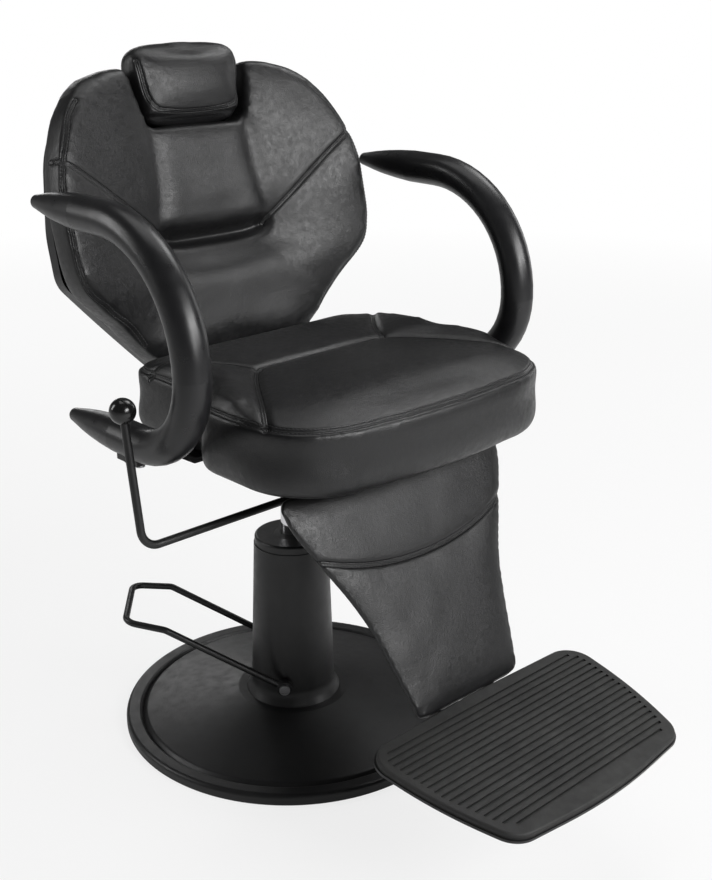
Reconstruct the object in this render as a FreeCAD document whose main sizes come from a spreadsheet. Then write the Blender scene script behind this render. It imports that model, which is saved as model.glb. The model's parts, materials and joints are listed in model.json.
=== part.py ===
import FreeCAD, Part
import math
import os
import Sketcher

# Barber chair: round base, hydraulic column, swivelling seat, reclining back with a sliding
# headrest, and a leg rest with a foot plate that rises as the back goes down.
# Millimetres. The origin is on the floor under the middle of the base, +Z is up,
# the chair faces -Y, and its left side is +X.

os.makedirs("parts", exist_ok=True)
doc = FreeCAD.newDocument("BarberChair")
sheet = doc.addObject("Spreadsheet::Sheet", "Sizes")
Vector = FreeCAD.Vector

# Driving dimensions: name, value, what it measures.
DRIVING_SIZES = [
    ("base_radius", 291.5, "outer radius of the base rim"),
    ("rim_width", 28, "radial width of the rim"),
    ("rim_height", 20, "height of the rim"),
    ("rim_round", 7, "rounding of the rim's top edges"),
    ("seat_gap", 0.2, "play between pieces that are set into each other"),
    ("plate_thickness", 8, "thickness of the floor plate"),
    ("dome_edge", 13, "height of the dome's edge beside the rim"),
    ("dome_top", 48, "height of the dome's flat hub"),
    ("dome_wall", 2, "sheet thickness of the dome"),
    ("dome_hub_radius", 96, "radius of the dome's flat hub"),
    ("dome_round", 14, "rounding between the dome's slope and its hub"),
    ("flange_radius", 84, "radius of the pump's flange"),
    ("flange_thickness", 12, "thickness of the pump's flange"),
    ("flange_bolt_circle", 66, "radius of the flange's bolt circle"),
    ("flange_bolt_radius", 5, "shank radius of a flange bolt"),
    ("flange_bolt_count", 4, "bolts in the flange"),
    ("housing_radius", 42, "outer radius of the pump housing"),
    ("bore_bottom", 108, "height of the bottom of the ram's bore"),
    ("cover_foot_radius", 72, "cover radius above its flared foot"),
    ("cover_flare", 9, "how far the cover's foot flares out"),
    ("cover_flare_height", 16, "height of the flared foot"),
    ("cover_top_radius", 63, "cover radius at its top"),
    ("cover_top", 322, "height of the cover's top edge"),
    ("cover_wall", 1.6, "sheet thickness of the cover"),
    ("cap_height", 16, "height of the cap on the column"),
    ("cap_step", 1.5, "how far the cap stands inside the cover's edge"),
    ("cap_round", 4, "rounding of the cap's edge"),
    ("ram_radius", 17, "radius of the chromed ram"),
    ("ram_fit", 0.05, "radial play of a running fit"),
    ("ram_foot_play", 5, "play under the ram at its lowest"),
    ("seal_radius", 30, "outer radius of the wiper seal"),
    ("seal_height", 8, "height of the wiper seal"),
    ("lift_down", 130, "travel of the seat below the rest height"),
    ("lift_margin", 20, "air over the cap at the lowest seat height"),
    ("spigot_radius", 14, "radius of the ram's upper spigot"),
    ("washer_radius", 26, "outer radius of the thrust washer"),
    ("washer_thickness", 2, "thickness of the thrust washer"),
    ("lever_angle", 140.6, "direction of the foot lever, seen from above"),
    ("lever_pivot_out", 16, "lever shaft's offset from the column's axis"),
    ("lever_pivot_height", 87, "height of the lever shaft"),
    ("lever_half_width", 80, "half the width of the wire loop, on its centre line"),
    ("lever_wire_radius", 5.5, "radius of the lever's wire"),
    ("lever_kink_out", 211, "distance of the wire's kink from the column's axis"),
    ("lever_kink_height", 203, "height of the kink"),
    ("lever_end_out", 277, "distance of the loop's end"),
    ("lever_end_height", 214, "height of the loop's end"),
    ("lever_end_narrowing", 12, "how much each side of the loop draws in at its end"),
    ("lever_bend", 22, "bend radius of the loop"),
    ("shaft_radius", 8, "radius of the lever shaft"),
    ("eye_radius", 13, "radius of the lever's eyes"),
    ("eye_length", 11, "length of the lever's eyes"),
    ("shaft_hole_play", 2, "play round the shaft in the cover"),
    ("lever_screw_radius", 9, "head radius of the lever's screws"),
    ("lever_screw_head", 5, "head height of the lever's screws"),
    ("mount_half_width", 75, "half width of the mount plate"),
    ("mount_half_depth", 90, "half depth of the mount plate"),
    ("mount_thickness", 8, "thickness of the mount plate"),
    ("mount_corner", 12, "corner rounding of the mount plate"),
    ("boss_radius", 26, "radius of the swivel boss"),
    ("boss_height", 38, "height of the boss over the mount plate"),
    ("spigot_end_play", 2, "how far the spigot stays below the boss's top"),
    ("side_thickness", 5, "thickness of a side plate"),
    ("frame_height", 66, "underside of the seat board over the mount plate's underside"),
    ("side_drop", 26, "how far the side plates reach below the mount plate"),
    ("side_lug_radius", 16, "radius of a side plate's pivot lugs"),
    ("flange_width", 30, "width of a side plate's top flange"),
    ("flange_sheet", 5, "thickness of a side plate's top flange"),
    ("flange_front", -140, "front end of the top flange"),
    ("flange_rear", 72, "rear end of the top flange"),
    ("back_pivot_y", 135, "back hinge, from front to rear"),
    ("back_pivot_rise", 27, "back hinge over the mount plate's underside"),
    ("leg_pivot_y", -203, "leg rest hinge, from front to rear"),
    ("leg_pivot_rise", -8, "leg rest hinge over the mount plate's underside"),
    ("pivot_radius", 8, "radius of the hinge bolts"),
    ("pivot_head_radius", 13, "head radius of the hinge bolts"),
    ("pivot_head", 6, "head height of the hinge bolts"),
    ("plate_play", 1, "gap between a side plate and the arm beside it"),
    ("head_play", 0.5, "gap between an arm and a bolt head"),
    ("arm_plate", 6, "thickness of the back's and leg rest's steel arms"),
    ("recline_range", 45, "degrees that the back reclines"),
    ("link_crank", 40, "crank length of the recline link"),
    ("spring_crank", 26, "crank length of the gas spring"),
    ("crank_lobe", 13, "half width of an arm's crank lobe"),
    ("link_pin_radius", 5, "radius of the link's pins"),
    ("link_width", 18, "width of the recline link"),
    ("open_pivot_play", 0.5, "radial play at the link's front pin"),
    ("pin_head_radius", 8.5, "head radius of the link's pins"),
    ("pin_head", 4, "head height of the link's pins"),
    ("spring_x", -105, "gas spring's place from left to right"),
    ("spring_front", -110, "gas spring's front eye"),
    ("spring_tube_radius", 11, "radius of the gas spring's tube"),
    ("spring_tube_length", 160, "length of the gas spring's tube"),
    ("spring_rod_radius", 4, "radius of the gas spring's rod"),
    ("spring_eye_radius", 11, "radius of the gas spring's eyes"),
    ("spring_eye_width", 12, "width of the gas spring's eyes"),
    ("spring_pin_play", 1.4, "radial play in the gas spring's rear eye"),
    ("release_reach", 21, "how far the release pin stands in front of the front eye"),
    ("release_radius", 3, "radius of the release pin"),
    ("rod_y", -140, "recline lever's shaft, from front to rear"),
    ("rod_rise", -11, "recline lever's shaft over the mount plate's underside"),
    ("rod_radius", 6, "radius of the recline lever's rod"),
    ("rod_inner", 92, "inner end of the recline lever's shaft"),
    ("rod_outer", -385, "place of the recline lever's handle from left to right"),
    ("rod_bend", 26, "bend radius of the recline lever"),
    ("handle_lean", 9, "backward lean of the recline lever's handle, in degrees"),
    ("handle_length", 196, "length of the handle up to the knob's middle"),
    ("knob_radius", 18.5, "radius of the ball knob"),
    ("finger_length", 25, "length of the release finger"),
    ("finger_radius", 4, "radius of the release finger"),
    ("ring_radius", 11, "outer radius of the lever's retaining rings"),
    ("ring_width", 6, "width of the lever's retaining rings"),
    ("board_thickness", 10, "thickness of the seat board"),
    ("board_inset", 34, "how far the seat board stays inside the cushion"),
    ("board_corner", 14, "rounding of the seat board's smaller corners"),
    ("cushion_lobe", 276, "half width of the seat cushion's front"),
    ("cushion_waist", 238, "half width of the seat cushion between the arms"),
    ("cushion_front", -338, "seat cushion's front corners"),
    ("cushion_bow", 27, "how far the middle of the front stands out"),
    ("cushion_step", -112, "where the seat cushion widens"),
    ("cushion_rear", 106, "seat cushion's rear edge"),
    ("cushion_lift", 3, "cushion's underside over the seat board's underside"),
    ("cushion_depth", 99, "height of the seat cushion's sewn edge over its underside"),
    ("cushion_crown", 16, "crown of the seat cushion over its sewn edge"),
    ("cushion_draw", 2.5, "how far the sides draw in between underside and sewn edge"),
    ("front_corner", 118, "rounding of the seat cushion's front corners"),
    ("step_corner", 34, "rounding where the seat cushion widens"),
    ("rear_corner", 40, "rounding of the seat cushion's rear corners"),
    ("bow_round", 900, "rounding of the bowed front"),
    ("bolster_rise", 38, "top of the seat's side bolsters over the sewn edge"),
    ("bolster_rear", 56, "rear end of the side bolsters"),
    ("bolster_front", -236, "front end of the side bolsters"),
    ("bolster_edge", 6, "how far the side bolsters stay inside the cushion's side"),
    ("bolster_round", 16, "rounding of the side bolsters' tops"),
    ("channel_radius", 5, "radius of a sewn channel"),
    ("panel_half_rear", 138, "half width of the seat's middle panel at its rear"),
    ("panel_rear", -80, "rear edge of the seat's middle panel"),
    ("panel_half_front", 250, "half width of the seat's middle panel at its front"),
    ("panel_front", -235, "front end of the seat's side seams"),
    ("tube_x", 329, "arm's middle plane from the chair's middle"),
    ("tube_radius", 26.5, "radius of an arm"),
    ("tube_tip_radius", 11, "radius of an arm near its tips"),
    ("tube_tip_length", 130, "length over which an arm tapers"),
    ("tube_top", 422, "arm's upper run over the mount plate's underside"),
    ("tube_low", 110, "arm's lower run over the mount plate's underside"),
    ("tube_mid", 235, "height where the arm stands furthest forward"),
    ("tube_front", -194, "arm's furthest forward point, on its centre line"),
    ("tube_top_tip", 179, "rear tip of the arm's upper run"),
    ("tube_low_tip", 116, "rear tip of the arm's lower run"),
    ("tube_flat", 3, "depth of the flat under the arm"),
    ("bracket_width", 50, "width of an arm bracket"),
    ("bracket_front", -70, "front edge of an arm bracket"),
    ("bracket_sheet", 8, "thickness of an arm bracket"),
    ("bracket_inner", 110, "inner end of an arm bracket"),
    ("bracket_bend", 238, "where an arm bracket bends upwards"),
    ("bracket_rise_run", 34, "run of the bracket's slope"),
    ("bracket_outer", 342, "outer end of an arm bracket"),
    ("bolt_radius", 4, "shank radius of the assembly bolts"),
    ("bolt_head_radius", 7.5, "head radius of the assembly bolts"),
    ("bolt_head", 5, "head height of the assembly bolts"),
    ("bolt_grip", 18, "depth of the arm bolts in the arm"),
    ("bolt_spread", 26, "distance between two arm bolts"),
    ("back_y", 181, "backrest's front in its middle, at its reference height"),
    ("back_rise", 337, "backrest's reference height over the mount plate's underside"),
    ("back_tilt", 13.9, "backward lean of the backrest, in degrees"),
    ("back_curve", 755, "radius of the wrap-around curve"),
    ("back_pad", 56, "thickness of the back cushion"),
    ("back_board_thickness", 10, "thickness of the back board"),
    ("back_cover_thickness", 20, "thickness of the rear cover"),
    ("back_board_inset", 10, "how far the back board stays inside the cushion"),
    ("back_top", 268, "top of the shoulders over the reference height"),
    ("back_bottom", -212, "bottom edge under the reference height"),
    ("back_width", 303, "half width of the backrest at its widest"),
    ("back_shoulder_start", 46, "where the shoulders start to round in"),
    ("back_hip", -46, "height of the side corners"),
    ("back_foot_width", 134, "half width at the bottom edge"),
    ("back_shoulder_power", 1.9, "fullness of the shoulders' curve"),
    ("shell_width", 291, "half width of the rear cover at its widest"),
    ("shell_foot_width", 124, "half width of the rear cover at its bottom edge"),
    ("shell_straight", 30, "height up to which the rear cover stays widest"),
    ("shell_shoulder_in", 29, "how far the rear cover draws in at its shoulder"),
    ("shell_shoulder", 158, "height of the rear cover's shoulder"),
    ("shell_crest_in", 89, "how far the rear cover draws in at its crest"),
    ("shell_crest", 226, "height of the rear cover's crest"),
    ("shell_top_width", 112, "half width of the rear cover's top edge"),
    ("shell_top", 260, "height of the rear cover's top edge"),
    ("shell_round", 150, "rounding of the rear cover's shoulders"),
    ("back_hip_round", 40, "rounding of the side corners"),
    ("back_foot_round", 30, "rounding of the lower corners"),
    ("back_edge", 12, "rounding of the back cushion's ends"),
    ("lumbar_height", 120, "fullest level of the back cushion above its bottom"),
    ("crease_spread", 34, "how far the back's crease runs out above its deepest level"),
    ("back_tuck", 3, "how far the back cushion draws in at its rear"),
    ("back_piping", 13, "how far the front seam lies inside the side"),
    ("notch_top_width", 117, "half width of the headrest's notch at the top"),
    ("notch_width", 98, "half width of the notch at its bottom"),
    ("notch_bottom", 172, "bottom of the notch"),
    ("notch_round", 45, "rounding of the notch's lower corners"),
    ("cover_notch_bottom", 236, "bottom of the rear cover's notch, behind the headrest"),
    ("crease_height", -9, "height of the lumbar crease"),
    ("crease_half", 104, "half width of the lumbar crease"),
    ("crease_depth", 15, "depth of the lumbar crease"),
    ("lumbar_crown", 9, "how far the back's panels swell"),
    ("wing_seam_height", 137, "where the V seam meets the side"),
    ("seam_radius", 4, "radius of the V seam's channel"),
    ("arm_strip", 10, "depth of a back arm's strip"),
    ("arm_strip_top", 60, "top of a back arm over the reference height"),
    ("arm_foot_bend", -226, "where a back arm bends towards its hinge"),
    ("arm_hub", 20, "half width of a back arm's hub"),
    ("arm_flange_width", 40, "width of a back arm's flange"),
    ("arm_flange_sheet", 4, "thickness of a back arm's flange"),
    ("arm_flange_foot", -188, "lower end of a back arm's flange"),
    ("chamber_play", 7, "air round the arms inside the rear cover"),
    ("screw_radius", 3, "shank radius of a wood screw"),
    ("screw_head_radius", 6, "head radius of a wood screw"),
    ("screw_head", 3, "head height of a wood screw"),
    ("screw_depth", 7, "depth of a wood screw"),
    ("guide_half_width", 26, "half width of the headrest's guide"),
    ("guide_length", 100, "length of the headrest's guide"),
    ("guide_wall", 3, "wall of the headrest's guide"),
    ("bar_half_width", 16, "half width of the headrest's bar"),
    ("bar_thickness", 5, "thickness of the headrest's bar"),
    ("bar_play", 0.3, "play of the bar in its guide"),
    ("headrest_bottom", 177, "bottom of the headrest pad"),
    ("headrest_height", 125, "height of the headrest pad"),
    ("headrest_low_width", 91, "half width of the headrest pad at its bottom"),
    ("headrest_top_width", 108, "half width of the headrest pad near its top"),
    ("headrest_front", -17, "headrest pad's front before the backrest's front"),
    ("headrest_rear", 48, "headrest pad's rear behind the backrest's front"),
    ("leg_tilt", 28, "forward lean of the leg rest, in degrees"),
    ("leg_front", 64, "leg rest's front face before its hinge"),
    ("leg_pad", 26, "thickness of the leg rest pad"),
    ("leg_board", 10, "thickness of the leg rest board"),
    ("leg_board_inset", 38, "how far the leg rest board stays inside the pad"),
    ("leg_top", 30, "leg rest's top edge over its hinge"),
    ("leg_bottom", -333, "leg rest's bottom edge under its hinge"),
    ("leg_top_width", 230, "half width of the leg rest at its top"),
    ("leg_hip_width", 222, "half width where the leg rest starts to narrow"),
    ("leg_hip", -18, "height where the leg rest starts to narrow"),
    ("leg_waist_width", 147, "half width of the leg rest at its waist"),
    ("leg_waist", -168, "height of the leg rest's waist"),
    ("leg_foot_width", 112, "half width of the leg rest at its bottom"),
    ("leg_corner", 20, "rounding of the leg rest's corners"),
    ("leg_hip_round", 110, "rounding where the leg rest narrows"),
    ("leg_waist_round", 420, "rounding of the leg rest's waist"),
    ("leg_seam", -78, "height of the leg rest's seam at the sides"),
    ("leg_seam_sag", 34, "sag of the leg rest's seam in its middle"),
    ("leg_seam_round", 640, "rounding of the leg rest's seam"),
    ("leg_strip_thin", 12, "depth of a leg rest arm below its hub"),
    ("leg_arm_foot", -190, "lower end of a leg rest arm"),
    ("leg_flange", 28, "width of the flanges on the leg rest's board"),
    ("leg_screw_top", -50, "upper screws of the leg rest's arms"),
    ("leg_screw_low", -150, "lower screws of the leg rest's arms"),
    ("foot_bracket_x", 62, "outer face of a foot plate bracket"),
    ("foot_screw_top", -226, "upper screws of the foot plate's brackets"),
    ("foot_screw_low", -278, "lower screws of the foot plate's brackets"),
    ("foot_y", -417, "foot plate's rear edge"),
    ("foot_drop", 269, "foot plate's rear edge under the leg rest's hinge"),
    ("foot_tilt", 7, "forward slope of the foot plate, in degrees"),
    ("foot_length", 248, "length of the foot plate at its sides"),
    ("foot_bow", 20, "how far the foot plate's front edge bows out"),
    ("foot_rear_width", 233, "half width of the foot plate at its rear"),
    ("foot_mid_width", 221, "half width of the foot plate in its middle"),
    ("foot_front_width", 185, "half width of the foot plate at its front"),
    ("foot_corner", 42, "rounding of the foot plate's corners"),
    ("foot_side_round", 640, "rounding of the foot plate's bowed sides"),
    ("foot_end_round", 900, "rounding of the foot plate's bowed ends"),
    ("foot_sheet", 4, "thickness of the foot plate"),
    ("tread_height", 9, "height of the rubber tread"),
    ("tread_round", 4, "rounding of the tread's upper edge"),
    ("tread_inset", 2, "how far the tread stays inside the plate"),
    ("rib_pitch", 12, "distance from rib to rib"),
    ("rib_groove", 5, "width of the groove between two ribs"),
    ("rib_depth", 3, "depth of the grooves"),
    ("rib_margin", 3, "plain strip between the border and the first groove"),
    ("tread_border", 16, "plain border round the ribs"),
    ("foot_strut", 24, "depth of a foot plate bracket under the plate's rear"),
    ("foot_strut_tip", 10, "depth of a foot plate bracket at its front end"),
    ("foot_strut_reach", 200, "how far a bracket reaches under the foot plate"),
]

values = {}
for row, (alias, number, meaning) in enumerate(DRIVING_SIZES, 1):
    sheet.set(f"A{row}", alias)
    sheet.set(f"B{row}", str(number))
    sheet.setAlias(f"B{row}", alias)
    sheet.set(f"C{row}", meaning)
    values[alias] = float(number)
doc.recompute()


class Size:
    """A length or angle: its value now, and the formula in the sheet that it follows."""

    def __init__(self, value, formula):
        self.value = value
        self.formula = formula

    def __add__(self, other):
        other = as_size(other)
        return Size(self.value + other.value, f"({self.formula} + {other.formula})")

    def __radd__(self, other):
        return as_size(other) + self

    def __sub__(self, other):
        other = as_size(other)
        return Size(self.value - other.value, f"({self.formula} - {other.formula})")

    def __rsub__(self, other):
        return as_size(other) - self

    def __mul__(self, other):
        other = as_size(other)
        return Size(self.value * other.value, f"({self.formula} * {other.formula})")

    def __rmul__(self, other):
        return as_size(other) * self

    def __truediv__(self, other):
        other = as_size(other)
        return Size(self.value / other.value, f"({self.formula} / {other.formula})")

    def __neg__(self):
        return Size(-self.value, f"(-{self.formula})")


def as_size(number):
    if isinstance(number, Size):
        return number
    return Size(float(number), str(float(number)))


def size(alias):
    return Size(values[alias], f"Sizes.{alias}")


def sine(angle):
    return Size(math.sin(math.radians(angle.value)), f"sin({angle.formula})")


def cosine(angle):
    return Size(math.cos(math.radians(angle.value)), f"cos({angle.formula})")


def tangent(angle):
    return Size(math.tan(math.radians(angle.value)), f"tan({angle.formula})")


def root(number):
    return Size(math.sqrt(number.value), f"sqrt({number.formula})")


# Heights that several pieces share.
cap_top = size("cover_top") + size("cap_height")
frame_z = cap_top + size("lift_down") + size("lift_margin")
plate_inner = size("mount_half_width")
plate_outer = plate_inner + size("side_thickness")
arm_inner = plate_outer + size("plate_play")
arm_outer = arm_inner + size("arm_plate")
link_inner = arm_outer + size("plate_play")
link_outer = link_inner + size("arm_plate")
half_recline = size("recline_range") / 2

X_AXIS = Vector(1, 0, 0)
Y_AXIS = Vector(0, 1, 0)
Z_AXIS = Vector(0, 0, 1)
SIDES = {"left": 1, "right": -1}
nodes = []


def new_body(label):
    body = doc.addObject("PartDesign::Body", label)
    body.Label = label
    nodes.append(body)
    return body


def place(piece, y=0, z=0, axis=X_AXIS, angle=0, x=0):
    """Put a piece at a point, turned about an axis, by formulas of the sheet."""
    spot = [as_size(part) for part in (x, y, z)]
    turn = as_size(angle)
    piece.Placement = FreeCAD.Placement(Vector(*[part.value for part in spot]),
                                        FreeCAD.Rotation(axis, turn.value))
    for letter, part in zip("xyz", spot):
        piece.setExpression(f"Placement.Base.{letter}", part.formula)
    if turn.value:
        piece.setExpression("Placement.Rotation.Angle", turn.formula)
    return piece


def seat_place(piece):
    return place(piece, z=frame_z)


def back_place(piece):
    return place(piece, y=size("back_y"), z=frame_z + size("back_rise"), angle=-size("back_tilt"))


def leg_place(piece):
    return place(piece, y=size("leg_pivot_y"), z=frame_z + size("leg_pivot_rise"),
                 angle=-size("leg_tilt"))


def foot_place(piece):
    height = frame_z + size("leg_pivot_rise") - size("foot_drop")
    return place(piece, y=size("foot_y"), z=height, angle=size("foot_tilt"))


def lever_place(piece):
    return place(piece, axis=Z_AXIS, angle=size("lever_angle"))


def new_sketch(body, plane, offset=0):
    """A sketch on one of the body's planes: XY, XZ (normal -Y) or YZ (normal +X)."""
    sketch = body.newObject("Sketcher::SketchObject", "Sketch")
    planes = [feature for feature in body.Origin.OriginFeatures if feature.Role == f"{plane}_Plane"]
    sketch.AttachmentSupport = [(planes[0], "")]
    sketch.MapMode = "FlatFace"
    shift = as_size(offset)
    sketch.AttachmentOffset = FreeCAD.Placement(Vector(0, 0, shift.value), FreeCAD.Rotation())
    sketch.setExpression("AttachmentOffset.Base.z", shift.formula)
    return sketch


def dimension(sketch, kind, geometry, point, target):
    target = as_size(target)
    if point is None:
        number = sketch.addConstraint(Sketcher.Constraint(kind, geometry, target.value))
    else:
        number = sketch.addConstraint(Sketcher.Constraint(kind, geometry, point, target.value))
    sketch.setExpression(f"Constraints[{number}]", target.formula)


def corner_arc(before, corner, after, radius):
    """Start, middle and end of the arc that rounds a corner."""
    arriving = (corner - before).normalize()
    leaving = (after - corner).normalize()
    half_turn = arriving.getAngle(leaving) / 2
    reach = radius * math.tan(half_turn)
    inward = (leaving - arriving).normalize()
    middle = corner + inward * (radius / math.cos(half_turn) - radius)
    return corner - arriving * reach, middle, corner + leaving * reach


def outline(sketch, corners):
    """Draw a closed outline. A corner is (x, y), or (x, y, radius) where it is rounded."""
    corners = [[as_size(part) for part in corner] for corner in corners]
    spots = [Vector(corner[0].value, corner[1].value, 0) for corner in corners]
    count = len(corners)
    bends = []
    for index, corner in enumerate(corners):
        if len(corner) == 3:
            bends.append(corner_arc(spots[index - 1], spots[index], spots[(index + 1) % count],
                                    corner[2].value))
        else:
            bends.append((spots[index], spots[index], spots[index]))
    lines = [sketch.addGeometry(Part.LineSegment(bends[index][2], bends[(index + 1) % count][0]))
             for index in range(count)]
    for index, corner in enumerate(corners):
        arriving = lines[index - 1]
        leaving = lines[index]
        if len(corner) == 2:
            sketch.addConstraint(Sketcher.Constraint("Coincident", arriving, 2, leaving, 1))
            marker = leaving
        else:
            arc = sketch.addGeometry(Part.Arc(*bends[index]))
            starts_here = (sketch.getPoint(arc, 1) - bends[index][0]).Length < \
                (sketch.getPoint(arc, 2) - bends[index][0]).Length
            first, last = (1, 2) if starts_here else (2, 1)
            sketch.addConstraint(Sketcher.Constraint("Tangent", arriving, 2, arc, first))
            sketch.addConstraint(Sketcher.Constraint("Tangent", arc, last, leaving, 1))
            dimension(sketch, "Radius", arc, None, corner[2])
            marker = sketch.addGeometry(Part.Point(spots[index]), True)
            sketch.addConstraint(Sketcher.Constraint("PointOnObject", marker, 1, arriving))
            sketch.addConstraint(Sketcher.Constraint("PointOnObject", marker, 1, leaving))
        dimension(sketch, "DistanceX", marker, 1, corner[0])
        dimension(sketch, "DistanceY", marker, 1, corner[1])
    return sketch


def circle(sketch, x, y, radius):
    x, y, radius = as_size(x), as_size(y), as_size(radius)
    spot = Vector(x.value, y.value, 0)
    ring = sketch.addGeometry(Part.Circle(spot, Z_AXIS, radius.value))
    dimension(sketch, "Radius", ring, None, radius)
    dimension(sketch, "DistanceX", ring, 3, x)
    dimension(sketch, "DistanceY", ring, 3, y)
    return sketch


def curved_band(sketch, curve, near, far, half_width):
    """A band that curves about a point in front of it, from depth near to depth far."""
    arcs = []
    for depth in (near, far):
        radius = curve + depth
        swing = math.asin(half_width.value / radius.value)
        bow = Part.ArcOfCircle(Part.Circle(Vector(0, -curve.value, 0), Z_AXIS, radius.value),
                               math.pi / 2 - swing, math.pi / 2 + swing)
        arc = sketch.addGeometry(bow)
        dimension(sketch, "Radius", arc, None, radius)
        dimension(sketch, "DistanceX", arc, 3, 0)
        dimension(sketch, "DistanceY", arc, 3, -curve)
        dimension(sketch, "DistanceX", arc, 1, half_width)
        dimension(sketch, "DistanceX", arc, 2, -half_width)
        arcs.append(arc)
    for end in (1, 2):
        side = sketch.addGeometry(Part.LineSegment(sketch.getPoint(arcs[0], end),
                                                   sketch.getPoint(arcs[1], end)))
        sketch.addConstraint(Sketcher.Constraint("Coincident", side, 1, arcs[0], end))
        sketch.addConstraint(Sketcher.Constraint("Coincident", side, 2, arcs[1], end))
    return sketch


def pad(body, sketch, length):
    feature = body.newObject("PartDesign::Pad", "Pad")
    feature.Profile = sketch
    length = as_size(length)
    feature.Length = length.value
    feature.setExpression("Length", length.formula)
    return feature


def revolve(body, sketch):
    feature = body.newObject("PartDesign::Revolution", "Revolution")
    feature.Profile = sketch
    feature.ReferenceAxis = (sketch, ["V_Axis"])
    feature.Angle = 360
    return feature


def cut_through(body, sketch):
    """Cut a sketch right through the body, both ways, and make sure that it cut."""
    doc.recompute()
    before = body.Shape.Volume
    feature = body.newObject("PartDesign::Pocket", "Pocket")
    feature.Profile = sketch
    feature.Type = "ThroughAll"
    feature.SideType = "Symmetric"
    doc.recompute()
    if not body.Shape.Volume < before:
        raise RuntimeError(f"{body.Label}: a cut missed the solid")
    return feature


def revolved(label, corners):
    body = new_body(label)
    revolve(body, outline(new_sketch(body, "XZ"), corners))
    return body


def solid_piece(label, shape, put):
    """A piece whose shape is lofted or bent from the sheet's values."""
    piece = doc.addObject("Part::Feature", label)
    piece.Label = label
    piece.Shape = shape
    nodes.append(piece)
    put(piece)
    return piece


def rounded_wire(points, radii):
    """A closed flat wire of straight runs and corner arcs."""
    count = len(points)
    bends = [corner_arc(points[index - 1], points[index], points[(index + 1) % count], radii[index])
             for index in range(count)]
    edges = []
    for index in range(count):
        edges.append(Part.Arc(*bends[index]).toShape())
        edges.append(Part.LineSegment(bends[index][2], bends[(index + 1) % count][0]).toShape())
    return Part.Wire(edges)


def bent_path(points, radius):
    """An open wire of straight runs, joined by arcs of one radius."""
    edges = []
    start = points[0]
    for before, corner, after in zip(points, points[1:], points[2:]):
        first, middle, last = corner_arc(before, corner, after, radius)
        edges.append(Part.LineSegment(start, first).toShape())
        edges.append(Part.Arc(first, middle, last).toShape())
        start = last
    edges.append(Part.LineSegment(start, points[-1]).toShape())
    return Part.Wire(edges)


def lofted(wires, ruled=False):
    """A closed solid through a row of wires, with its faces pointing outwards."""
    shape = Part.makeLoft(wires, True, ruled)
    if shape.Volume < 0:
        shape.reverse()
    return shape


def rod_along(points, bend, radius):
    """A round rod along a bent path."""
    path = bent_path(points, bend)
    ring = Part.Circle(points[0], points[1] - points[0], radius).toShape()
    return path.makePipeShell([Part.Wire([ring])], True, False)


def bolt_shape(spot, direction, radius, length, head_radius, head_height):
    """A bolt whose head rests at spot and whose shank runs along direction."""
    shank = Part.makeCylinder(radius, length, spot, direction)
    head = Part.makeCylinder(head_radius, head_height, spot - direction * head_height, direction)
    return shank.fuse(head).removeSplitter()


# Base and column

rim_inner = size("base_radius") - size("rim_width")


def make_base():
    plate = new_body("base_plate")
    sketch = new_sketch(plate, "XY")
    circle(sketch, 0, 0, rim_inner - size("seat_gap"))
    pad(plate, sketch, size("plate_thickness"))

    step = size("rim_height") - size("rim_round")
    revolved("base_rim", [
        (rim_inner, 0),
        (size("base_radius") - size("rim_round") / 2, 0),
        (size("base_radius"), size("rim_round") / 2),
        (size("base_radius"), size("rim_height"), size("rim_round")),
        (rim_inner + size("rim_round") / 2, size("rim_height"), size("rim_round") / 2),
        (rim_inner, step),
    ])

    edge = rim_inner - size("seat_gap")
    foot = size("plate_thickness")
    wall = size("dome_wall")
    hole = size("housing_radius") + size("dome_wall")
    shoulder = edge - size("rim_round")
    revolved("base_dome", [
        (edge, foot),
        (edge, size("dome_edge")),
        (shoulder, size("dome_edge") + size("rim_round"), size("rim_round")),
        (size("dome_hub_radius"), size("dome_top"), size("dome_round")),
        (hole, size("dome_top")),
        (hole, size("dome_top") - wall),
        (size("dome_hub_radius"), size("dome_top") - wall, size("dome_round")),
        (shoulder, size("dome_edge") + size("rim_round") - wall, size("rim_round") - wall),
        (edge - wall, size("dome_edge")),
        (edge - wall, foot),
    ])


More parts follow.
